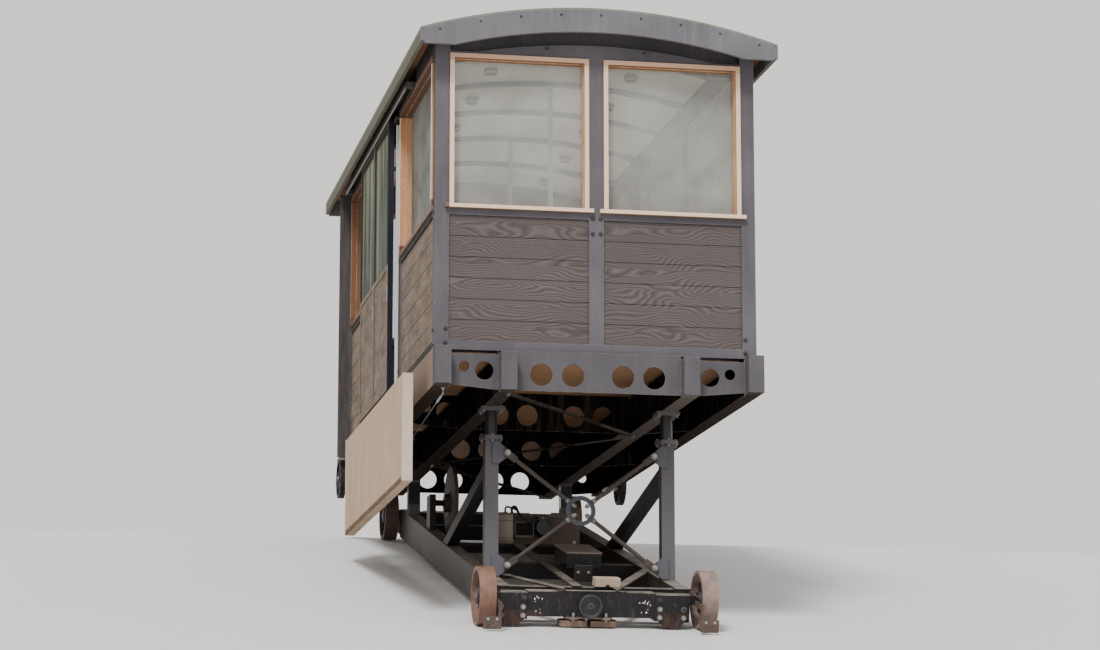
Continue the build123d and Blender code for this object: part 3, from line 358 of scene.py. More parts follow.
def window_timber(name, outer_light, outer_dark, light, dark):
    """Varnished softwood of the windows: bleached on the outer faces, orange-brown in the reveals. Painted shade
    darkens the outer faces above the window heads, the undersides, the heads and sills on the left side and the rear
    left window's frame.
    """
    shader = Shader(name, 0.5, gloss=0.1)
    x, y, z = shader.axes()
    ends = shader.math("MAXIMUM", shader.less(y, FRONT - OUTSIDE), shader.more(y, FRONT + LENGTH + OUTSIDE))
    outer = shader.math("MAXIMUM", shader.more(shader.size(x), WALL_X + OUTSIDE), ends)
    grain, figure, streaks = shader.softwood()
    head = shader.more(z, BASE + WINDOW_HEAD)
    # painted shade: outer faces above the window heads darkened to orange-brown
    outer_tone = shader.over(shader.mix(figure, outer_light, outer_dark), head, 0.85, rgb(0.60, 0.355, 0.235))
    tone = shader.mix(outer, shader.mix(figure, light, dark), outer_tone)
    tone = shader.over(tone, streaks, 0.35, outer_dark)
    # painted shade: undersides darkened
    tone = shader.over(tone, shader.facing("Z"), 0.8, shade(dark, 0.55))
    # painted shade: heads and sills of the left side's windows near black-brown
    left = shader.less(x, -1.10)
    lying = shader.math("MAXIMUM", head, shader.less(z, BASE + WINDOW_SILL))
    tone = shader.over(tone, shader.times(left, lying), 0.9, rgb(0.085, 0.038, 0.024))
    # painted shade: the rear left window's frame darker
    far = shader.times(left, shader.more(y, FRONT + 4.0))
    tone = shader.over(tone, far, 0.85, rgb(0.110, 0.050, 0.028))
    tone = shader.over(tone, shader.rubbed(0.006, shader.patch(0.35, 0.6, 18.0, 3.0)), 0.45, rgb(0.92, 0.82, 0.70))
    return shader.done(tone, grain, 0.0006, 0.6, 0.003)


def timber(name, light, dark, roughness):
    """Softwood with pale worn arrises."""
    shader = Shader(name, roughness)
    grain, figure, streaks = shader.softwood()
    tone = shader.over(shader.mix(figure, light, dark), streaks, 0.5, dark)
    tone = shader.over(tone, shader.rubbed(0.008, shader.patch(0.35, 0.6, 18.0, 3.0)), 0.75, rgb(0.86, 0.80, 0.70))
    return shader.done(tone, grain, 0.0006, 0.6, 0.003)


def weathered_board(name, pale, stained, deep):
    """Weathered boarding with upright stains and fine grain."""
    shader = Shader(name, 0.75, gloss=0.0)
    grain = shader.grain((60.0, 60.0, 2.5))
    tone = shader.mix(shader.ramp(shader.grain((3.0, 7.0, 0.9), 5.0, 0.6), 0.32, 0.72), pale, stained)
    tone = shader.over(tone, shader.ramp(grain, 0.4, 0.8), 0.4, deep)
    tone = shader.over(tone, shader.rubbed(0.008, shader.patch(0.4, 0.6, 20.0, 3.0)), 0.5, shade(deep, 0.6))
    return shader.done(tone, grain, 0.0007, 0.6, 0.003)


def plywood(name):
    """Orange-brown plywood of the deck, with near-black painted shade where its ends stand outside the walls."""
    shader = Shader(name, 0.65)
    grain = shader.grain((60.0, 3.0, 60.0))
    tone = shader.mix(shader.patch(0.35, 0.7, 2.2, 5.0, 0.6), rgb(0.36, 0.19, 0.09), rgb(0.24, 0.12, 0.06))
    tone = shader.over(tone, grain, 0.4, rgb(0.42, 0.25, 0.13))
    # painted shade: near black on the deck's ends near the end walls
    inner = shader.between(shader.axes("Y")[0], FRONT + DECK_EDGE, FRONT + LENGTH - DECK_EDGE)
    return shader.done(shader.mix(inner, PAINTED_SHADE_BLACK, tone), grain, 0.0005, 0.5)


def ceiling_board(name):
    """Pale painted boards of the ceiling."""
    shader = Shader(name, 0.6)
    grain = shader.grain((50.0, 2.5, 50.0), 4.0, 0.65)
    tone = shader.mix(shader.patch(0.35, 0.7, 1.3, 4.0), rgb(0.78, 0.68, 0.61), rgb(0.58, 0.50, 0.44))
    tone = shader.over(tone, grain, 0.40, rgb(0.44, 0.36, 0.31))
    return shader.done(tone, grain, 0.0005, 0.5, 0.0015)


def window_glass(name, film_weight):
    """Clear glass with a milky film of dust. It mirrors more and lets less through at a slant. On left-facing panes
    the mirrored light is tinted olive to dark green in long upright streaks, a painted reflection.
    """
    shader = Shader(name, 0.03)
    slant = shader.node("LayerWeight", {"Blend": 0.5}).outputs["Facing"]
    mirror = shader.math("MULTIPLY_ADD", shader.math("POWER", slant, 5.0), 0.96, 0.04)
    passed = shader.mix(shader.ramp(slant, 0.55, 0.80), rgb(0.90, 0.93, 0.91), rgb(0.30, 0.33, 0.31))
    # painted reflection: tint of the mirrored light on left-facing panes, in upright streaks from olive to dark green
    streak = shader.ramp(shader.grain((6.0, 6.0, 0.7), 4.0, 0.6, 0.3), 0.40, 0.58,
                         rgb(0.36, 0.38, 0.22), rgb(0.075, 0.09, 0.085))
    clear = shader.node("BsdfTransparent", {"Color": passed})
    gloss = shader.node("BsdfGlossy", {"Roughness": 0.02, "Color": shader.mix(shader.facing("X"), WHITE, streak)})
    dust = shader.node("BsdfDiffuse", {"Color": rgb(0.75, 0.74, 0.70)})
    pane = shader.node("MixShader", {0: mirror, 1: clear.outputs[0], 2: gloss.outputs[0]})
    cover = shader.math("MULTIPLY_ADD", shader.patch(0.25, 0.8, 2.2, 5.0, 0.6, 0.5), film_weight, film_weight * 0.45)
    film = shader.node("MixShader", {0: cover, 1: pane.outputs[0], 2: dust.outputs[0]})
    shader.feed(shader.out, film.outputs[0])
    return shader.material


def rusty_iron(name, bright, dark):
    """Bare cast iron with a brown rust skin."""
    shader = Shader(name, 0.7)
    grit = shader.noise(80.0, 5.0, 0.7)
    tone = shader.mix(shader.patch(0.35, 0.65, 9.0, 6.0, 0.65), bright, dark)
    tone = shader.over(tone, shader.ramp(grit, 0.5, 0.8), 0.5, rgb(0.42, 0.2, 0.1))
    return shader.done(tone, grit, 0.001, 0.6, 0.004)


def wheel_iron(name, centre, tread):
    """Cast wheel: dark paint on the arms and hub, rust-brown on the rim."""
    shader = Shader(name, 0.62)
    y, z = shader.axes("YZ")
    reach = shader.reach(shader.minus(y, centre.y), shader.minus(z, centre.z))
    patch = shader.noise(14.0, 6.0, 0.65)
    grit = shader.noise(90.0, 5.0, 0.7)
    rust = shader.mix(shader.ramp(patch, 0.35, 0.65), tread, shade(tread, 0.55))
    rust = shader.over(rust, shader.ramp(grit, 0.5, 0.8), 0.4, shade(tread, 1.35))
    paint = shader.mix(shader.ramp(patch, 0.45, 0.7), rgb(0.030, 0.028, 0.028), rgb(0.075, 0.055, 0.045))
    return shader.done(shader.mix(shader.more(reach, WHEEL_RIM_INNER), paint, rust), grit, 0.001, 0.6, 0.004)


def rubber(name):
    """Black rubber with a grey bloom and a paler worn rim."""
    shader = Shader(name, 0.5)
    bloom = shader.noise(14.0, 5.0, 0.6)
    tone = shader.mix(shader.ramp(bloom, 0.4, 0.75), rgb(0.008, 0.008, 0.008), rgb(0.028, 0.025, 0.024))
    tone = shader.over(tone, shader.edge_wear(0.01), 0.6, rgb(0.15, 0.14, 0.135))
    return shader.done(tone, bloom, 0.0008, 0.5, 0.004)


def bare_metal(name, light=0.62, roughness=0.36, change=None):
    """Dull bright metal with fine drawing lines and grime."""
    shader = Shader(name, roughness, 0.9)
    lines = shader.grain((240.0, 4.0, 240.0), 3.0, 0.6, 0.0)
    tone = shader.mix(lines, rgb(light, light, light * 0.97), rgb(light * 0.74, light * 0.74, light * 0.72))
    tone = shader.over(tone, shader.patch(0.48, 0.72, 22.0, 5.0, 0.65), 0.45, rgb(0.22, 0.17, 0.13))
    if change:
        tone = change(shader, tone)
    return shader.done(tone, lines, 0.0003, 0.4, 0.0015)


def gloss_black(name):
    """Glossy black paint with dust."""
    shader = Shader(name, 0.22)
    tone = shader.over(rgb(0.012, 0.012, 0.014), shader.patch(0.5, 0.8, 30.0, 5.0, 0.7), 0.3, rgb(0.10, 0.09, 0.08))
    return shader.done(tone, shader.noise(120.0, 3.0), 0.0004, 0.4, 0.002)


def post_paint(name, body, head):
    """Dark blue-grey paint on the posts, glossy black on the pipe heads, with near-black painted shade on the posts'
    left-facing sides.
    """
    shader = Shader(name, 0.6)
    is_head = shader.between(shader.axes("Z")[0], BASE + PIPE_LOW + 0.016, BASE + PIPE_HIGH - 0.001)
    grit = shader.noise(60.0, 5.0, 0.7)
    tint = shader.over(body, shader.patch(0.5, 0.8, 6.0, 6.0, 0.68, 0.3), 0.45, rgb(0.085, 0.062, 0.050))
    # painted shade: near black on the left-facing sides of the posts
    tint = shader.over(tint, shader.facing("X"), 0.85, rgb(0.010, 0.010, 0.009))
    tint = shader.mix(is_head, tint, head)
    tint = shader.over(tint, shader.rubbed(0.006, shader.ramp(grit, 0.4, 0.6)), 0.6, rgb(0.26, 0.23, 0.20))
    shader.rough(is_head, -0.34, 0.62)
    return shader.done(shader.settled(tint, 0.6), grit, 0.0007, 0.5, 0.003)


# Changes of a tint by place


def under_floor(shader, tint):
    """Near-black painted shade under the floor inside the walls' width, between the outer faces of the end plates;
    brown dust on the beams' outer faces; down-facing faces dark brown, paler brown between x 0.3 and 0.9.
    """
    x, y = shader.axes("XY")
    inward = shader.less(shader.size(x), WALL_X + OUTSIDE)
    behind = shader.between(y, FRONT - END_PLATE, FRONT + LENGTH + END_PLATE)
    # painted shade: near black under the floor inside the walls' width
    dark = shader.over(tint, inward, behind, PAINTED_SHADE_BLACK)
    board = shader.times(shader.minus(1.0, inward), behind)
    dusty = shader.over(dark, board, 0.8, rgb(0.235, 0.165, 0.125))
    # down-facing faces: dark brown, paler brown between x 0.3 and 0.9
    below = shader.mix(shader.between(x, 0.3, 0.9), rgb(0.045, 0.035, 0.029), rgb(0.120, 0.098, 0.085))
    return shader.over(dusty, shader.facing("Z"), 0.8, below)


def cheek_rust(shader, tint):
    """Red-brown rust on the lower half of the headstocks' bearing plates, pale scuffs all over."""
    x, y, z = shader.axes()
    height = shader.minus(z, shader.times(y, math.tan(SLOPE)))
    cheek = shader.times(shader.more(shader.size(x), 0.455), shader.less(height, 0.125))
    tint = shader.over(tint, cheek, shader.patch(0.36, 0.60, 16.0, 5.0, 0.65), rgb(0.052, 0.026, 0.019))
    scuff = shader.ramp(shader.grain((46.0, 46.0, 7.0), 4.0), 0.56, 0.74)
    return shader.over(tint, scuff, 0.30, rgb(0.20, 0.185, 0.185))


def dark_left(shader, tint):
    """Painted shade on the walls' frames: dark olive on their left faces, near black on their undersides."""
    # painted shade: near black on undersides
    tint = shader.over(tint, shader.facing("Z"), 0.9, PAINTED_SHADE_BLACK)
    # painted shade: dark olive on left faces
    return shader.over(tint, shader.facing("X"), 0.72, rgb(0.036, 0.037, 0.026))


def weathered_batten(shader, tint):
    """Weathered wood on what stands proud of the left wall; the rest of its face gets the painted shade of dark_left.
    """
    wood = shader.wood((60.0, 60.0, 3.0), rgb(0.084, 0.073, 0.071), rgb(0.036, 0.031, 0.032))
    return shader.mix(shader.less(shader.axes("X")[0], -WALL_X - PROUD), dark_left(shader, tint), wood)


def eave_tint(shader, tint):
    """Olive-grey weathering on the boards along the eaves."""
    x, y = shader.axes("XY")
    behind = shader.between(y, FRONT - ROOF_END + TRIM_DEPTH, FRONT + LENGTH + ROOF_END - TRIM_DEPTH)
    return shader.over(tint, shader.more(shader.size(x), EAVE_X), behind, rgb(0.125, 0.120, 0.096))


def soffit(shader, tint):
    """Brown boards under the roof's overhang."""
    wood = shader.wood((60.0, 3.0, 60.0), rgb(0.30, 0.16, 0.085), rgb(0.17, 0.085, 0.045))
    return shader.mix(shader.facing("Z"), tint, wood)


def track_tint(shader, tone):
    """Near black, mottled, on the track's hood, with a pale grey band 56 to 75 mm below its top. The strip beside the
    doorway, below the hood, stays bright.
    """
    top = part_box("door_track")[1].z
    height = shader.axes("Z")[0]
    # mottled near-black tone of the hood
    worn = shader.ramp(shader.noise(9.0, 4.0, 0.6), 0.3, 0.6, rgb(0.030, 0.026, 0.024), rgb(0.060, 0.052, 0.046))
    worn = shader.mix(shader.between(height, top - 0.075, top - 0.056), worn, rgb(0.30, 0.27, 0.245))
    return shader.mix(shader.less(height, top - 0.12), worn, rgb(0.86, 0.85, 0.86))


def leaf_tint(shader, tint):
    """Boarding over the outer faces of the leaves' frames below the glass."""
    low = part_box("door_front_glass")[0]
    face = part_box("door_front_leaf")[0].x
    x, z = shader.axes("XZ")
    wood = shader.wood((60.0, 6.0, 60.0), rgb(0.230, 0.185, 0.150), rgb(0.110, 0.086, 0.070))
    dark = shader.mix(shader.facing("X"), rgb(0.016, 0.018, 0.025), rgb(0.050, 0.050, 0.036))
    return shader.over(dark, shader.less(x, face + 0.002), shader.less(z, low.z + 0.001), wood)


def tie_tint(shader, tint):
    """Blue-grey on the ring and a paler one on the gussets. The rods keep their brown-grey."""
    x, z = shader.axes("XZ")
    ring = shader.less(shader.reach(x, shader.minus(z, BASE + PIN_MIDDLE)), 0.1125)
    tint = shader.mix(ring, tint, rgb(0.052, 0.056, 0.066))
    return shader.mix(shader.more(shader.size(x), 0.580), tint, rgb(0.095, 0.093, 0.106))


def pack_tint(shader, tint):
    """Paler can at the left, black motor and valves in front of the tank."""
    low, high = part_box("brake_unit")
    x, y, z = shader.axes()
    before = shader.less(y, low.y + 0.1275)
    tint = shader.over(tint, before, shader.less(z, high.z - 0.0185), rgb(0.020, 0.018, 0.018))
    return shader.over(tint, shader.less(x, low.x + 0.1275), before, rgb(0.36, 0.32, 0.265))


def make_materials():
    """Every material of the scene by its name."""
    grey = rgb(0.116, 0.108, 0.122)
    grey_worn = rgb(0.34, 0.33, 0.32)
    grey_dust = rgb(0.17, 0.165, 0.16)
    steel, rust, board = painted_steel, rusty_paint, weathered_board
    return {
        "grey": steel("grey_paint", grey, grey_worn, grey_dust, 0.46, change=dark_left),
        "left_frame": steel("left_frame_paint", grey, grey_worn, grey_dust, 0.46, change=weathered_batten, gloss=0.0),
        "hoops": steel("hoop_paint", rgb(0.120, 0.135, 0.160), grey_worn, grey_dust, 0.5),
        "fascia": steel("fascia_paint", rgb(0.160, 0.154, 0.168), rgb(0.38, 0.37, 0.36), rgb(0.26, 0.25, 0.25), 0.5,
                        change=eave_tint, gloss=0.0),
        "roof": steel("roof_sheet", rgb(0.2, 0.215, 0.18), rgb(0.3, 0.3, 0.26), rgb(0.28, 0.28, 0.22), 0.8,
                      change=soffit),
        "floor_steel": steel("floor_beam_paint", rgb(0.104, 0.098, 0.108), rgb(0.30, 0.27, 0.24),
                             rgb(0.15, 0.13, 0.115), 0.5, wear=0.7, change=under_floor, gloss=0.0),
        # front=0.08: faces that look to the front are laid over almost fully with near-black painted shade
        "chassis": rust("chassis_paint", rgb(0.036, 0.029, 0.025), rgb(0.13, 0.068, 0.040),
                        rgb(0.060, 0.035, 0.024), 0.08, 0.55, settle=0.75, front=0.08, gloss=0.35),
        "struts": rust("strut_paint", rgb(0.010, 0.009, 0.0085), rgb(0.050, 0.032, 0.024),
                       rgb(0.024, 0.017, 0.013), 0.03, 0.5, settle=0.5, gloss=0.15),
        "headstock": rust("headstock_paint", rgb(0.0190, 0.0165, 0.0180), rgb(0.080, 0.040, 0.026),
                          rgb(0.034, 0.020, 0.015), 0.06, 0.42, settle=0.95, gloss=0.2, change=cheek_rust),
        "tie": steel("tie_paint", rgb(0.075, 0.062, 0.053), rgb(0.24, 0.21, 0.18), rgb(0.13, 0.11, 0.09), 0.5,
                     change=tie_tint),
        "unit": steel("unit_paint", rgb(0.145, 0.112, 0.090), rgb(0.25, 0.22, 0.19), rgb(0.16, 0.13, 0.105), 0.55,
                      settle=0.5, change=pack_tint),
        "unit_trim": steel("unit_trim_paint", rgb(0.24, 0.21, 0.175), rgb(0.40, 0.36, 0.32), rgb(0.30, 0.26, 0.22),
                           0.5, 0.0015, settle=0.4),
        "planks": wood_planks("dark_planks", rgb(0.124, 0.103, 0.100), rgb(0.044, 0.035, 0.033),
                              rgb(0.25, 0.215, 0.207)),
        "timber": window_timber("window_timber", rgb(0.86, 0.64, 0.48), rgb(0.70, 0.47, 0.33),
                                rgb(0.52, 0.27, 0.135), rgb(0.36, 0.17, 0.08)),
        "block_timber": timber("block_timber", rgb(0.48, 0.38, 0.28), rgb(0.30, 0.22, 0.15), 0.75),
        "glass": window_glass("window_glass", 0.185),
        "door_glass": window_glass("door_glass", 0.07),
        "deck": plywood("deck_plywood"),
        "ceiling": ceiling_board("ceiling_boards"),
        "apron": board("apron_timber", rgb(0.475, 0.355, 0.262), rgb(0.37, 0.272, 0.198), rgb(0.30, 0.215, 0.155)),
        "end_board": board("apron_end_wood", rgb(0.56, 0.46, 0.38), rgb(0.46, 0.37, 0.30), rgb(0.36, 0.28, 0.22)),
        "apron_strip": board("apron_strip", rgb(0.17, 0.115, 0.080), rgb(0.12, 0.08, 0.055), rgb(0.08, 0.05, 0.03)),
        "iron": rusty_iron("rusty_iron", rgb(0.19, 0.125, 0.098), rgb(0.085, 0.055, 0.044)),
        "scraper": rusty_iron("scraper_iron", rgb(0.085, 0.055, 0.045), rgb(0.045, 0.030, 0.026)),
        "disc": rusty_iron("disc_iron", rgb(0.085, 0.068, 0.060), rgb(0.050, 0.040, 0.036)),
        "wheel_black": steel("side_wheel_paint", rgb(0.022, 0.021, 0.022), rgb(0.30, 0.29, 0.28),
                             rgb(0.10, 0.09, 0.08), 0.5, wear=0.8),
        "rubber": rubber("buffer_rubber"),
        "metal": bare_metal("bare_metal"),
        "track": bare_metal("track_metal", 0.5, 0.45, change=track_tint),
        "bright": bare_metal("bright_bolts", 0.42, 0.45),
        "dull": bare_metal("dull_bolts", 0.22, 0.5),
        "dark_bolts": steel("dark_bolts", rgb(0.050, 0.048, 0.052), rgb(0.28, 0.27, 0.26), rgb(0.12, 0.11, 0.10),
                            0.32, 0.001),
        "black": gloss_black("gloss_black"),
        "door_steel": steel("door_paint", rgb(0.042, 0.043, 0.052), rgb(0.22, 0.21, 0.20), rgb(0.09, 0.08, 0.075),
                            0.42, wear=0.15, change=leaf_tint, gloss=0.0),
        "chips": steel("paint_chips", rgb(0.78, 0.78, 0.76), rgb(0.5, 0.48, 0.45), rgb(0.6, 0.58, 0.55), 0.5),
        "hose": rubber("hose_rubber"),
        "lid": steel("box_lid_paint", rgb(0.34, 0.28, 0.245), rgb(0.22, 0.2, 0.18), rgb(0.14, 0.12, 0.10), 0.5,
                     settle=0.5),
        "fittings": steel("lamp_paint", rgb(0.045, 0.045, 0.05), rgb(0.2, 0.2, 0.2), rgb(0.12, 0.12, 0.12), 0.4),
        "posts": post_paint("post_paint", rgb(0.076, 0.073, 0.080), rgb(0.014, 0.013, 0.014)),
    }


NODES_OF = {
    # material: the nodes that wear it
    "chassis": "chassis_frame chassis_flats disc_pedestal pack_bed apron_brackets", "headstock": "headstocks",
    "rubber": "buffer", "iron": "rail_guide", "scraper": "wheel_scrapers", "posts": "floor_posts",
    "struts": "raking_struts", "tie": "cross_tie", "disc": "rope_disc", "unit": "brake_unit", "black": "control_box",
    "block_timber": "timber_block", "floor_steel": "floor_beams floor_plates floor_bracing", "deck": "floor_deck",
    "metal": "side_wheel_axles grab_poles", "wheel_black": "side_wheel_left side_wheel_right",
    "grey": "front_wall_frame rear_wall_frame right_wall_frame", "left_frame": "left_wall_frame",
    "planks": "wall_panels door_front_panel door_rear_panel", "timber": "window_frames", "glass": "window_glass",
    "roof": "roof_shell", "fascia": "roof_trim", "hoops": "roof_hoops", "track": "door_track",
    "apron": "apron_board", "door_steel": "door_front_leaf door_rear_leaf",
    "door_glass": "door_front_glass door_rear_glass",
}

TREADS = {
    # wheel: colour of its rim: rust brown, made lighter or darker on each wheel as painted light and shade, darkest
    # on the rear left
    "wheel_front_left": rgb(0.21, 0.108, 0.070), "wheel_front_right": rgb(0.27, 0.185, 0.155),
    "wheel_rear_left": rgb(0.075, 0.042, 0.030), "wheel_rear_right": rgb(0.16, 0.095, 0.065),
}


def assign_materials(made):
    """Gives every CAD node its procedural material."""
    worn_by = {node: made[name] for name, nodes in NODES_OF.items() for node in nodes.split()}
    for name, tread in TREADS.items():
        worn_by[name] = wheel_iron(name + "_iron", middle_of(name), tread)
    for name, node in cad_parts.items():
        node.data.materials.clear()
        node.data.materials.append(worn_by[name])


def link(name, data):
    """A new object in the scene."""
    made = bpy.data.objects.new(name, data)
    bpy.context.scene.collection.objects.link(made)
    return made


class Piece:
    """One visible piece, gathered from many small forms. It wears the material of the given key."""

    def __init__(self, name, material):
        self.name = name
        self.material = materials[material]
        self.mesh = bmesh.new()

    def around(self, centre, side, other, radius, sides):
        """Points round a centre."""
        angles = [2 * math.pi * k / sides for k in range(sides)]
        return [self.mesh.verts.new(centre + (side * math.cos(a) + other * math.sin(a)) * radius) for a in angles]

    def skin(self, rings):
        """Closes the first and last ring of points and joins each to the next."""
        self.mesh.faces.new(list(reversed(rings[0])))
        self.mesh.faces.new(rings[-1])
        for first, second in zip(rings, rings[1:]):
            for k in range(len(first)):
                after = (k + 1) % len(first)
                self.mesh.faces.new((first[k], first[after], second[after], second[k]))

    def prism(self, outline, origin, right, up, depth):
        """A flat outline pushed along its normal."""
        right = Vector(right).normalized()
        up = Vector(up).normalized()
        out = right.cross(up) * depth
        lower = [self.mesh.verts.new(Vector(origin) + right * u + up * v) for u, v in outline]
        self.skin([lower, [self.mesh.verts.new(vertex.co + out) for vertex in lower]])

    def box(self, low, high, placed=lambda x, y, z: Vector((x, y, z))):
        """A box between two corners, through an optional placing function."""
        x0, y0, z0 = low
        x1, y1, z1 = high
        corners = [self.mesh.verts.new(placed(x, y, z)) for z in (z0, z1) for y in (y0, y1) for x in (x0, x1)]
        for face in ((0, 2, 3, 1), (4, 5, 7, 6), (0, 1, 5, 4), (2, 6, 7, 3), (0, 4, 6, 2), (1, 3, 7, 5)):
            self.mesh.faces.new([corners[k] for k in face])

    def drum(self, start, end, radius, sides=16, tip=None):
        """A round or many-sided bar between two points."""
        start = Vector(start)
        end = Vector(end)
        axis = (end - start).normalized()
        side = axis.orthogonal().normalized()
        other = axis.cross(side)
        self.skin([self.around(start, side, other, radius, sides),
                   self.around(end, side, other, radius if tip is None else tip, sides)])

    def tube(self, points, radius, sides=10, cuts=8):
        """A round bar swept along a smooth line through the points."""
        points = [Vector(point) for point in points]
        path = []
        for before, a, b, after in zip(points[:1] + points, points, points[1:], points[2:] + points[-1:]):
            for step in range(cuts):
                t = step / cuts
                path.append(0.5 * (2 * a + (b - before) * t + (2 * before - 5 * a + 4 * b - after) * t * t
                                   + (3 * a - before - 3 * b + after) * t ** 3))
        path.append(points[-1])
        rings = []
        side = None
        for k, centre in enumerate(path):
            ahead = (path[min(k + 1, len(path) - 1)] - path[max(k - 1, 0)]).normalized()
            side = (ahead.orthogonal() if side is None else side - ahead * side.dot(ahead)).normalized()
            rings.append(self.around(centre, side, ahead.cross(side), radius, sides))
        self.skin(rings)

    def bolt(self, place, normal, across=0.024, height=0.012, washer=0.0):
        """A hexagon head, on a washer if one is asked for. It starts a hair inside the surface."""
        place = Vector(place)
        normal = Vector(normal).normalized()
        start = place - normal * 0.0005
        if washer:
            self.drum(start, place + normal * 0.003, washer / 2, 18)
            start = place + normal * 0.003
        self.drum(start, start + normal * height * 0.8, across / 2, 6)
        self.drum(start + normal * height * 0.8, start + normal * height, across / 2, 6, across * 0.4)

    def dome(self, place, normal, diameter, height):
        """A round head with a soft top."""
        place = Vector(place)
        normal = Vector(normal).normalized()
        self.drum(place - normal * 0.0005, place + normal * height * 0.5, diameter / 2, 16)
        self.drum(place + normal * height * 0.5, place + normal * height * 0.85, diameter / 2, 16, diameter * 0.38)
        self.drum(place + normal * height * 0.85, place + normal * height, diameter * 0.38, 16, diameter * 0.2)

    def ring(self, centre, axis, radius, thickness, sides=28, tube_sides=8):
        """A round hoop."""
        centre = Vector(centre)
        axis = Vector(axis).normalized()
        side = axis.orthogonal().normalized()
        other = axis.cross(side)
        rings = []
        for k in range(sides):
            angle = 2 * math.pi * k / sides
            out = side * math.cos(angle) + other * math.sin(angle)
            rings.append(self.around(centre + out * radius, out, axis, thickness, tube_sides))
        for first, second in zip(rings, rings[1:] + rings[:1]):
            for j in range(tube_sides):
                after = (j + 1) % tube_sides
                self.mesh.faces.new((first[j], second[j], second[after], first[after]))

    def bolt_circle(self, centre, side, radius, count, turn, across, height):
        """Bolts round a shaft that lies along X, on its left or right side."""
        for k in range(count):
            angle = math.radians(360 / count * k + turn)
            out = Vector((0, radius * math.cos(angle), radius * math.sin(angle)))
            self.bolt(centre + out, (side, 0, 0), across, height)

    def finish(self, bevel=0.0, body=None, smooth=False):
        """Makes the object. It rides on a body if one is named."""
        bmesh.ops.recalc_face_normals(self.mesh, faces=self.mesh.faces)
        data = bpy.data.meshes.new(self.name)
        self.mesh.to_mesh(data)
        self.mesh.free()
        if smooth:
            data.polygons.foreach_set("use_smooth", [True] * len(data.polygons))
            data.set_sharp_from_angle(angle=SMOOTH_ANGLE)
        made = link(self.name, data)
        data.materials.append(self.material)
        if bevel:
            rounding = made.modifiers.new("edges", "BEVEL")
            rounding.width = bevel
            rounding.segments = 2
            rounding.limit_method = "ANGLE"
            rounding.angle_limit = ROUNDING_ANGLE
        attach(made, body or "car")
        return made


def cab(x, y, z):
    """A point given from the cabin's front wall and the level it is measured from."""
    return Vector((x, FRONT + y, BASE + z))


def tilted(x, s, n):
    """A point at distance s up the slope of the running gear and height n square to it."""
    return Vector((x, s * math.cos(SLOPE) - n * math.sin(SLOPE), s * math.sin(SLOPE) + n * math.cos(SLOPE)))


def roof_under(x):
    """Height of the roof sheet's underside, from the level the cabin is measured from."""
    return ROOF_CROWN - ROOF_SHEET - ROOF_RADIUS + math.sqrt(ROOF_RADIUS ** 2 - x * x)


def middle_of(node):
    """The middle of a CAD node's box."""
    low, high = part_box(node)
    return (low + high) / 2


def build_wall_bolts():
    """Heads on the posts, rails, wall heads and fascias of both end walls, and along the side walls."""
    piece = Piece("wall_bolts", "dark_bolts")
    round_heads = [
        # x, height
        (-1.118, 2.221), (-1.118, 2.116), (1.115, 2.211), (1.115, 2.111),
        (-0.030, 3.079), (0.030, 3.079), (-0.030, 2.965), (0.030, 2.965),
    ]
    for y, normal in ((0.0, FORWARD), (LENGTH, BACKWARD)):
        for x in (-0.370, 0.364):
            piece.bolt(cab(x, y, 4.352), normal)
        for x, z in round_heads:
            piece.dome(cab(x, y, z), normal, 0.030, 0.012)
    for y, normal in ((-ROOF_END, FORWARD), (LENGTH + ROOF_END, BACKWARD)):
        for k in range(9):
            x = -1.2 + 0.3 * k
            piece.dome(cab(x, y, roof_under(x) - 0.038), normal, 0.02, 0.003)
    for side, places in ((-1, (0.055, 1.85)), (1, (0.055, 1.86, LENGTH - 0.055))):
        for y in places:
            for z in (2.105, 2.215, 3.09, 4.32):
                piece.bolt(cab(side * WALL_X, y, z), (side, 0, 0), 0.022, 0.010)
    piece.finish(0.0008)


def build_ceiling():
    """Boards between the roof hoops and square fittings with a bright rim under them."""
    piece = Piece("ceiling_boards", "ceiling")
    lamps = Piece("ceiling_fittings", "fittings")
    rims = Piece("ceiling_fitting_rims", "metal")
    edges = [0.1] + [LENGTH / (HOOPS + 1) * (k + 1) for k in range(HOOPS)] + [LENGTH - 0.1]
    width = 2 * CEILING_HALF / CEILING_BOARDS
    for k in range(HOOPS + 1):
        start = edges[k] + (HOOP_HALF if k else 0.003)
        end = edges[k + 1] - (HOOP_HALF if k < HOOPS else 0.003)
        for j in range(CEILING_BOARDS):
            x0 = -CEILING_HALF + width * j + 0.0008
            x1 = x0 + width - 0.0016
            outline = [(x0, roof_under(x0) - 0.014), (x1, roof_under(x1) - 0.014),
                       (x1, roof_under(x1) - 0.002), (x0, roof_under(x0) - 0.002)]
            piece.prism(outline, (0, FRONT + end, BASE), RIGHT, UP, end - start)
        middle = (start + end) / 2
        for x in (-0.56, 0.56):
            z = roof_under(x) - 0.014
            lamps.box((x - 0.045, middle - 0.045, z - 0.046), (x + 0.045, middle + 0.045, z + 0.004), cab)
            lamps.drum(cab(x, middle, z - 0.045), cab(x, middle, z - 0.056), 0.030, 20, 0.026)
            rims.box((x - 0.048, middle - 0.048, z - 0.046), (x + 0.048, middle + 0.048, z - 0.038), cab)
    piece.finish(0.0006)
    lamps.finish(0.003)
    rims.finish(0.001)


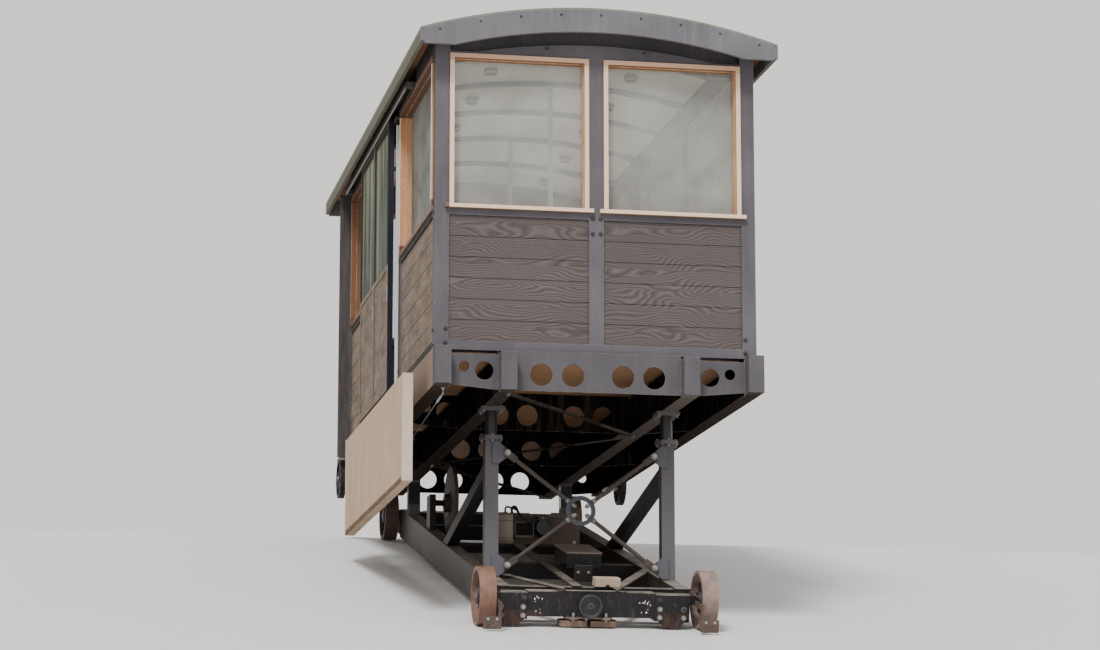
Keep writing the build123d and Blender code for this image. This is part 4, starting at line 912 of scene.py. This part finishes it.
def build_post_fittings():
    """Flange bolts, pipe holes and pins of the front posts and the cross tie."""
    bolts = Piece("post_bolts", "dull")
    holes = Piece("pipe_holes", "dark_bolts")
    y = POST_BACK
    for x in (-POST_X, POST_X):
        for dx in (-0.066, 0.066):
            for dy in (-0.066, 0.066):
                bolts.bolt(cab(x + dx, y + dy, PIPE_HIGH), DOWN, 0.024, 0.016, 0.032)
        for dx, dy in ((-0.068, 0), (0.068, 0), (0, -0.068), (0, 0.068)):
            bolts.bolt(cab(x + dx, y + dy, PIPE_LOW + 0.015), UP, 0.022, 0.014, 0.030)
            bolts.bolt(cab(x + dx, y + dy, PIPE_LOW - 0.015), DOWN, 0.022, 0.016, 0.030)
        for z in (PIPE_LOW + 0.060, PIPE_LOW + 0.128):
            holes.drum(cab(x, y - 0.040, z), cab(x, y - 0.0458, z), 0.011, 16)
        bolts.ring(cab(x, y, PIPE_LOW), UP, 0.0872, 0.0022, 40, 6)
    pins = Piece("tie_pin_nuts", "bright")
    for x in (-PIN_X, PIN_X):
        for z in (PIN_HIGH, PIN_LOW):
            for out in (FORWARD, BACKWARD):
                start = cab(x, TIE_BACK, z) + out * 0.0245
                bolts.drum(start, start + out * 0.006, 0.027, 20, 0.026)
                pins.drum(start + out * 0.005, start + out * 0.019, 0.019, 6, 0.018)
                pins.drum(start + out * 0.018, start + out * 0.026, 0.010, 12)
    bolts.finish(0.0008)
    pins.finish(0.0008)
    holes.finish(0.0005)
    nuts = Piece("tie_ring_nuts", "dull")
    angle = math.atan2(PIN_HIGH - PIN_MIDDLE, PIN_X)
    centre = cab(0, TIE_BACK, PIN_MIDDLE)
    for k in (-1, 1):
        for side in (-1, 1):
            out = Vector((side * math.cos(angle), 0, k * math.sin(angle)))
            nuts.drum(centre + out * 0.079, centre + out * 0.052, 0.0185, 6, 0.0175)
            nuts.drum(centre + out * 0.079, centre + out * 0.044, 0.0105, 12)
            nuts.drum(centre + out * 0.112, centre + out * 0.135, 0.024, 6, 0.020)
    nuts.finish(0.001)


def build_headstock_fittings():
    """Washers and bolts of the bearing plates, guide and scrapers, and chips in the paint."""
    bolts = Piece("headstock_bolts", "bright")
    painted = Piece("headstock_painted_bolts", "dark_bolts")
    washers = Piece("headstock_washers", "dull")
    up = tilted(0, 0, 1)
    ahead = tilted(0, -1, 0)
    places = [
        # x, height, bare metal
        (-0.537, 0.088, True), (-0.537, 0.148, True), (-0.700, 0.088, False), (-0.700, 0.148, False),
        (0.467, 0.088, True), (0.467, 0.148, True), (0.645, 0.088, True), (0.645, 0.148, False),
    ]
    for end in (-1, 1):
        face = end * (AXLE + HEADSTOCK_HALF + 0.016)
        normal = tilted(0, end, 0)
        for x, n, bare in places:
            washers.drum(tilted(x, face - end * 0.0005, n), tilted(x, face + end * 0.004, n), 0.021, 20)
            (bolts if bare else painted).bolt(tilted(x, face + end * 0.004, n), normal, 0.031, 0.016)
        for x in (-0.528, 0.462):
            painted.bolt(tilted(x, face, 0.213), normal, 0.026, 0.016, 0.036)
        for x in (-0.71, 0.71):
            for s in (-0.035, 0.035):
                painted.bolt(tilted(x, end * AXLE + s, 0.25), up, 0.022, 0.012, 0.030)
    for x in (-0.7925, 0.7925):
        for dx in (-0.032, 0.032):
            bolts.dome(tilted(x + dx, -AXLE - 0.302, 0.087), ahead, 0.022, 0.008)
    for x in (-0.170, 0.070):
        place = tilted(x, -AXLE - HEADSTOCK_HALF - 0.022, 0)
        washers.bolt(place + up * 0.080, up, 0.030, 0.022, 0.038)
        washers.drum(place + up * 0.100, place + up * 0.116, 0.010, 12)
        washers.bolt(place + up * 0.066, -up, 0.030, 0.016, 0.038)
        washers.bolt(tilted(x, -AXLE + 0.045, 0.066), -up, 0.030, 0.014, 0.038)
    bolts.finish(0.001)
    washers.finish(0.001)
    painted.finish(0.001)
    chips = Piece("paint_chips", "chips")
    places = [
        # x, height, half width, half height
        (-0.452, 0.205, 0.006, 0.013), (-0.437, 0.222, 0.005, 0.010), (-0.424, 0.213, 0.006, 0.009),
        (-0.398, 0.206, 0.006, 0.012), (-0.446, 0.186, 0.004, 0.005), (-0.441, 0.118, 0.005, 0.008),
        (-0.409, 0.106, 0.005, 0.007), (-0.412, 0.130, 0.004, 0.004), (0.317, 0.190, 0.007, 0.008),
        (0.343, 0.190, 0.011, 0.005), (0.358, 0.197, 0.006, 0.018), (0.377, 0.186, 0.007, 0.013),
        (0.398, 0.176, 0.005, 0.010), (0.387, 0.200, 0.004, 0.006), (0.335, 0.120, 0.007, 0.008),
        (0.370, 0.121, 0.008, 0.011), (0.380, 0.142, 0.004, 0.005),
    ]
    for k, (x, n, w, h) in enumerate(places):
        outline = []
        for j in range(7):
            angle = 2 * math.pi * j / 7
            wobble = 0.75 + 0.35 * math.sin(3.1 * j + 1.7 * k)
            outline.append((w * wobble * math.cos(angle), h * wobble * math.sin(angle)))
        chips.prism(outline, tilted(x, -AXLE - HEADSTOCK_HALF + 0.0002, n), RIGHT, up, 0.0008)
    chips.finish()


def build_wheel_fittings():
    """Rings and bolts on the hubs and beads round the rims, turning with the wheels."""
    for side, side_name in ((-1, "left"), (1, "right")):
        out = RIGHT * side
        for end_name in ("front", "rear"):
            wheel = f"wheel_{end_name}_{side_name}"
            middle = middle_of(wheel)
            hub = Piece(wheel + "_hub", "dark_bolts")
            for face in (-1, 1):
                hub.ring(middle + RIGHT * face * 0.0585, RIGHT, 0.1850, 0.0026, 48, 6)
                hub.ring(middle + RIGHT * face * 0.0515, RIGHT, 0.0555, 0.0024, 36, 6)
            hub.bolt_circle(middle + out * 0.052, side, 0.048, 6, 30, 0.010, 0.005)
            hub.finish(0.0006, wheel)
            cap = Piece(f"axle_{end_name}_{side_name}_cap", "dull")
            tip = middle + out * 0.056
            cap.drum(tip - out * 0.001, tip + out * 0.003, 0.024, 24, 0.021)
            cap.drum(tip, tip + out * 0.0035, 0.009, 6)
            cap.finish(0.0006)
        wheel = f"side_wheel_{side_name}"
        middle = middle_of(wheel)
        rim = Piece(wheel + "_beads", "dark_bolts")
        for face in (-1, 1):
            rim.ring(middle + RIGHT * face * 0.0245, RIGHT, 0.149, 0.0022, 44, 6)
        rim.bolt_circle(middle + out * 0.025, side, 0.035, 6, 30, 0.008, 0.004)
        rim.finish(0.0006, wheel)
        nut = Piece(f"side_axle_{side_name}_nut", "dull")
        nut.drum(middle + out * 0.0295, middle + out * 0.037, 0.023, 6, 0.022)
        nut.finish(0.0008)


def build_floor_seams():
    """Weld beads where the end plates meet the beams, and the bracing bolts."""
    seams = Piece("plate_welds", "floor_steel")
    for y in (-0.042, LENGTH + 0.042):
        for x in (0.6155, 0.7345, 1.097):
            for mirror in (-1, 1):
                for k in range(29):
                    place = cab(mirror * x, y, 1.786 + 0.0095 * k)
                    seams.drum(place - UP * 0.0042, place + UP * 0.0042, 0.0048, 7, 0.0038)
    seams.finish()
    bolts = Piece("bracing_bolts", "dull")
    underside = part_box("floor_bracing")[1].z - 0.008
    for k in range(3):
        x = BRACING_X * (1 if k % 2 else -1)
        for place_x, y, turn in ((x, PLATE_PLACES[k], 1), (-x, PLATE_PLACES[k + 1], -1)):
            for dy in (0.012, 0.044):
                bolts.bolt((place_x, FRONT + y + turn * dy, underside), DOWN, 0.020, 0.010, 0.028)
    bolts.finish(0.0008)


def build_corner_stay():
    """Eye bolt under the front corner of the floor with a stay to the back of the apron."""
    eye = Piece("stay_fittings", "bright")
    top = cab(-1.126, 0.043, 1.794)
    eye.drum(top, top + DOWN * 0.028, 0.007, 12)
    eye.bolt(top, DOWN, 0.024, 0.010, 0.034)
    eye.ring(top + DOWN * 0.040, RIGHT, 0.013, 0.0042, 20, 8)
    start = top + Vector((-0.004, 0.004, -0.050))
    end = cab(-1.322, 0.52, 1.43)
    along = (end - start).normalized()
    eye.drum(start, start + along * 0.10, 0.0060, 10)
    eye.drum(start + along * 0.020, start + along * 0.080, 0.0095, 6)
    eye.bolt(end + RIGHT * 0.001, RIGHT, 0.026, 0.010, 0.036)
    eye.finish(0.0006)
    wire = Piece("stay_rod", "dull")
    wire.drum(start + along * 0.09, end, 0.0038, 10)
    wire.finish()


def build_apron():
    """Boarding of the apron in three sheets, with light end boards and a screwed strip along its foot."""
    low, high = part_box("apron_board")
    end_board = 0.022
    strip = 0.034
    face = low.x + 0.003
    sheets = Piece("apron_sheets", "apron")
    joints = [low.y + end_board + 0.0015, FRONT + 1.28, FRONT + 2.52, high.y - end_board - 0.0015]
    for start, end in zip(joints, joints[1:]):
        sheets.box((face, start + 0.001, low.z), (high.x, end - 0.001, high.z))
    sheets.finish(0.0015)
    ends = Piece("apron_end_boards", "end_board")
    ends.box((low.x, low.y, low.z), (high.x, low.y + end_board, high.z))
    ends.box((low.x, high.y - end_board, low.z), (high.x, high.y, high.z))
    ends.finish(0.002)
    foot = Piece("apron_strip", "apron_strip")
    foot.box((low.x + 0.0005, low.y + end_board + 0.001, low.z),
             (face + 0.004, high.y - end_board - 0.001, low.z + strip))
    foot.finish(0.001)
    heads = Piece("apron_screws", "bright")
    for y in (0.24, 0.61, 1.0, 1.49, 2.06, 2.63, 3.2, 3.49):
        place = Vector((face, FRONT + y, low.z + strip / 2))
        heads.drum(place, place + LEFT * 0.003, 0.009, 14, 0.007)
    for y in (0.24, 1.24, 1.32, 2.48, 2.56, 3.49):
        for rise in (0.10, 0.36, 0.62, 0.75):
            place = Vector((face, FRONT + y, low.z + rise))
            heads.drum(place + RIGHT * 0.001, place + LEFT * 0.001, 0.005, 10, 0.004)
    heads.finish()
    for piece in ("apron_sheets", "apron_end_boards", "apron_strip"):
        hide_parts("apron_board")


def build_door_fittings():
    """Flush pulls, rubber edges and corner screws that travel with each leaf, and the latch's bolts."""
    for name in ("front", "rear"):
        low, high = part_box(f"door_{name}_leaf")
        face = low.x
        near = low.y + 0.029
        z = BASE + 2.868
        pull = Piece(f"door_{name}_pull", "bright")
        pull.box((face - 0.003, near - 0.022, z - 0.062), (face + 0.002, near + 0.022, z + 0.062))
        for corner in (low.y + 0.024, high.y - 0.024):
            for height in (low.z + 0.045, low.z + 0.985):
                pull.dome((face, corner, height), LEFT, 0.010, 0.003)
        pull.finish(0.0015, f"door_{name}")
        cup = Piece(f"door_{name}_pull_cup", "dark_bolts")
        cup.box((face - 0.0036, near - 0.008, z - 0.050), (face + 0.001, near + 0.017, z + 0.050))
        for dz in (-0.056, 0.056):
            cup.dome((face - 0.003, near, z + dz), LEFT, 0.007, 0.002)
        start = high.y - 0.013 if name == "front" else low.y + 0.001
        cup.box((face - 0.0015, start, low.z + 0.004), (face + 0.030, start + 0.012, BASE + 4.27))
        cup.finish(0.0006, f"door_{name}")
    latch = Piece("door_latch_bolts", "bright")
    latch.bolt(cab(-WALL_X, 1.965, 2.275), LEFT, 0.022, 0.008, 0.030)
    latch.bolt(cab(-WALL_X, 1.965, 2.235), LEFT, 0.016, 0.007)
    latch.finish(0.0008)


def build_power_pack():
    """Caps, frames, ribs, hoses and bolts of the power pack."""
    low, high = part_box("brake_unit")
    face = low.y + 0.128
    bed = low.z
    can = Vector((low.x + 0.064, low.y + 0.064, bed))
    cap = Piece("filter_caps", "unit_trim")
    for start, end, radius, sides, tip in ((0.238, 0.256, 0.067, 32, 0.060), (0.0, 0.036, 0.0680, 32, None),
                                           (0.048, 0.056, 0.0655, 32, None), (0.190, 0.198, 0.0655, 32, None),
                                           (0.256, 0.272, 0.018, 6, None)):
        cap.drum(can + UP * start, can + UP * end, radius, sides, tip)
    cap.finish(0.0012)
    valve = Piece("valve_frame", "unit_trim")
    x0, x1 = -0.100, 0.060
    z0, z1 = bed + 0.064, bed + 0.194
    for left, right, foot, top in ((x0, x1, z0, z0 + 0.018), (x0, x1, z1 - 0.010, z1),
                                   (x0, x0 + 0.008, z0, z1), (x1 - 0.010, x1, z0, z1)):
        valve.box((left, face - 0.066, foot), (right, face - 0.050, top))
    valve.box((low.x + 0.128, face - 0.0135, high.z - 0.022), (high.x - 0.012, face - 0.001, high.z - 0.016))
    valve.finish(0.001)
    motor = Piece("motor_ribs", "black")
    shaft = Vector((0.130, face, bed + 0.145))
    for k in range(18):
        angle = 2 * math.pi * k / 18
        out = Vector((math.cos(angle), 0, math.sin(angle)))
        side = Vector((-math.sin(angle), 0, math.cos(angle)))
        motor.prism([(-0.0022, 0.0), (0.0022, 0.0), (0.0022, 0.006), (-0.0022, 0.006)],
                    shaft + FORWARD * 0.098 + out * 0.0620, side, out, 0.084)
    motor.drum(shaft + FORWARD * 0.012, shaft, 0.074, 32)
    motor.drum(shaft + FORWARD * 0.112, shaft + FORWARD * 0.104, 0.058, 32, 0.060)
    motor.box(shaft + Vector((-0.040, -0.085, 0.058)), shaft + Vector((0.040, -0.010, 0.098)))
    gland = shaft + Vector((-0.004, -0.048, 0.096))
    motor.drum(gland, gland + UP * 0.012, 0.014, 16)
    motor.finish(0.0012)
    hoses = Piece("pack_hoses", "hose")
    hoses.tube([(-0.105, face + 0.030, high.z - 0.001), (-0.105, face + 0.026, high.z + 0.045),
                (-0.085, face - 0.020, high.z + 0.050), (-0.060, face - 0.075, high.z - 0.020),
                (-0.010, face - 0.088, high.z - 0.066), (0.040, face - 0.086, high.z - 0.082),
                shaft + Vector((-0.038, -0.055, 0.078))], 0.011)
    hoses.tube([can + UP * 0.270, can + Vector((0, 0.006, 0.300)), can + Vector((0.03, 0.05, 0.318)),
                can + Vector((0.11, 0.10, 0.300)), (can.x + 0.13, can.y + 0.11, high.z - 0.001)], 0.008)
    hoses.finish(smooth=True)
    nuts = Piece("pack_bolts", "bright")
    for x in (low.x + 0.150, 0.03, 0.22, high.x - 0.030):
        for y in (high.y - 0.030, face + 0.024):
            nuts.bolt((x, y, high.z), UP, 0.016, 0.008, 0.024)
    nuts.dome(shaft + Vector((-0.004, -0.085, 0.080)), FORWARD, 0.020, 0.008)
    for dx in (-0.046, 0.046):
        for dz in (-0.046, 0.046):
            nuts.bolt(shaft + Vector((dx, -0.012, dz)), FORWARD, 0.013, 0.007)
    nuts.bolt((high.x - 0.06, face, bed + 0.040), FORWARD, 0.022, 0.012, 0.030)
    nuts.finish(0.0006)
    plate = Piece("pack_side_plate", "grey")
    plate.box((0.206, face - 0.022, bed + 0.125), (0.248, face, bed + 0.205))
    for rise in (0.188, 0.142):
        plate.dome((0.227, face - 0.022, bed + rise), FORWARD, 0.008, 0.003)
    plate.finish(0.0015)


def build_control_box():
    """Lid with screws on the long box, and screws in its bracket."""
    lid = Piece("control_box_lid", "lid")
    lid.box((0.026, CONTROL_START - 0.004, 0.378), (0.304, CONTROL_START + 0.524, 0.389), tilted)
    lid.finish(0.002)
    screws = Piece("control_box_screws", "dull")
    for x in (0.045, 0.165, 0.285):
        for s in (0.02, 0.26, 0.50):
            screws.dome(tilted(x, CONTROL_START + s, 0.389), tilted(0, 0, 1), 0.011, 0.004)
    for x in (-0.055, 0.022):
        screws.dome(tilted(x, BRACKET_S, 0.345), tilted(0, -1, 0), 0.026, 0.010)
    screws.finish()


def build_disc_fittings():
    """Ring of bolts on the disc's boss and a bead round its rim, turning with it."""
    middle = middle_of("rope_disc")
    right_face = Vector((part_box("rope_disc")[1].x, middle.y, middle.z))
    piece = Piece("rope_disc_bolts", "dull")
    for side, back in ((1, 0.0), (-1, 0.030)):
        piece.bolt_circle(right_face + LEFT * back, side, 0.095, 8, 22, 0.018, 0.009)
    piece.finish(0.0008, "rope_disc")
    bead = Piece("rope_disc_bead", "dark_bolts")
    for back in (0.0005, 0.0295):
        bead.ring(right_face + LEFT * back, RIGHT, 0.300, 0.003, 56, 6)
    bead.finish(0.0, "rope_disc")


def build_track_fittings():
    """Screws along the door track and its end brackets."""
    low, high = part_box("door_track")
    piece = Piece("door_track_screws", "dull")
    for k in range(13):
        piece.dome((low.x, low.y + 0.12 + (high.y - low.y - 0.24) * k / 12, high.z - 0.020), LEFT, 0.012, 0.0035)
    for y in (low.y, high.y - 0.006):
        piece.box((low.x + 0.004, y, high.z - 0.060), (-WALL_X, y + 0.006, high.z - 0.004))
    piece.finish(0.0006)


def floor_height(y):
    """The floor lies flat, rises at the slope of the running gear and lies flat again."""
    return max(FLOOR_LOW, min(y, FLOOR_HIGH_START) * math.tan(SLOPE))


def build_floor():
    """Pale studio floor that follows the slope under the wheels."""
    foot = FLOOR_LOW / math.tan(SLOPE)
    steps = [-FLOOR_REACH, foot - 2.0]
    y = foot - 1.0
    while y < FLOOR_HIGH_START + 2.0:
        steps.append(y)
        y += FLOOR_STEP
    steps += [FLOOR_HIGH_START + 3.0, FLOOR_REACH]
    vertices = []
    for y in steps:
        spread = [floor_height(y + d * 0.1) for d in range(-6, 7)]
        level = sum(spread) / len(spread)
        if FLOOR_FOOT_WHEELS < y < FLOOR_HIGH_START:
            level = min(level, y * math.tan(SLOPE))
        vertices += [(-FLOOR_REACH, y, level - 0.001), (FLOOR_REACH, y, level - 0.001)]
    faces = [(2 * k, 2 * k + 1, 2 * k + 3, 2 * k + 2) for k in range(len(steps) - 1)]
    mesh = bpy.data.meshes.new("floor")
    mesh.from_pydata(vertices, [], faces)
    mesh.polygons.foreach_set("use_smooth", [True] * len(faces))
    floor = link("floor", mesh)
    shader = Shader("floor_paint", 0.85)
    tone = shader.mix(shader.noise(0.6, 3.0), rgb(0.60, 0.595, 0.585), rgb(0.64, 0.635, 0.625))
    shader.feed(shader.surface.inputs["Base Color"], tone)
    floor.data.materials.append(shader.material)


def build_lights():
    """Soft studio light with a broad key from the front left."""
    world = bpy.data.worlds.new("studio")
    bpy.context.scene.world = world
    world.use_nodes = True
    back = world.node_tree.nodes["Background"]
    back.inputs["Color"].default_value = rgb(1.0, 0.975, 0.95)
    back.inputs["Strength"].default_value = STUDIO_STRENGTH
    sun_data = bpy.data.lights.new("key", "SUN")
    sun_data.energy = KEY_ENERGY
    sun_data.angle = KEY_ANGLE
    sun = link("key", sun_data)
    sun.rotation_euler = Vector((0.42, 0.78, -1.0)).to_track_quat("-Z", "Y").to_euler()


def build_fill():
    """Soft light from the deck towards the ceiling, as bright windows all round would give."""
    data = bpy.data.lights.new("fill", "AREA")
    data.shape = "RECTANGLE"
    data.size = FILL_WIDTH
    data.size_y = LENGTH - 0.7
    data.energy = FILL_ENERGY
    data.color = (1.0, 0.97, 0.94)
    fill = link("fill", data)
    fill.location = cab(0, LENGTH / 2, 2.25)
    fill.rotation_euler = (math.pi, 0, 0)
    fill.visible_camera = False
    fill.visible_glossy = False


def build_camera():
    """Long lens from downhill on the left, looking up the slope."""
    data = bpy.data.cameras.new("camera")
    data.sensor_width = SENSOR_WIDTH
    data.lens = FOCAL_PIXELS / IMAGE_WIDTH * SENSOR_WIDTH
    data.clip_end = 500.0
    camera = link("camera", data)
    level = math.cos(EYE_PITCH)
    ahead = Vector((math.sin(EYE_YAW) * level, math.cos(EYE_YAW) * level, math.sin(EYE_PITCH)))
    camera.location = EYE
    camera.rotation_euler = ahead.to_track_quat("-Z", "Y").to_euler()
    bpy.context.scene.camera = camera


materials = make_materials()
assign_materials(materials)
for build in (build_wall_bolts, build_ceiling, build_post_fittings, build_headstock_fittings,
              build_wheel_fittings, build_floor_seams, build_corner_stay, build_apron, build_door_fittings,
              build_power_pack, build_control_box, build_disc_fittings, build_track_fittings,
              build_floor, build_lights, build_fill, build_camera):
    build()
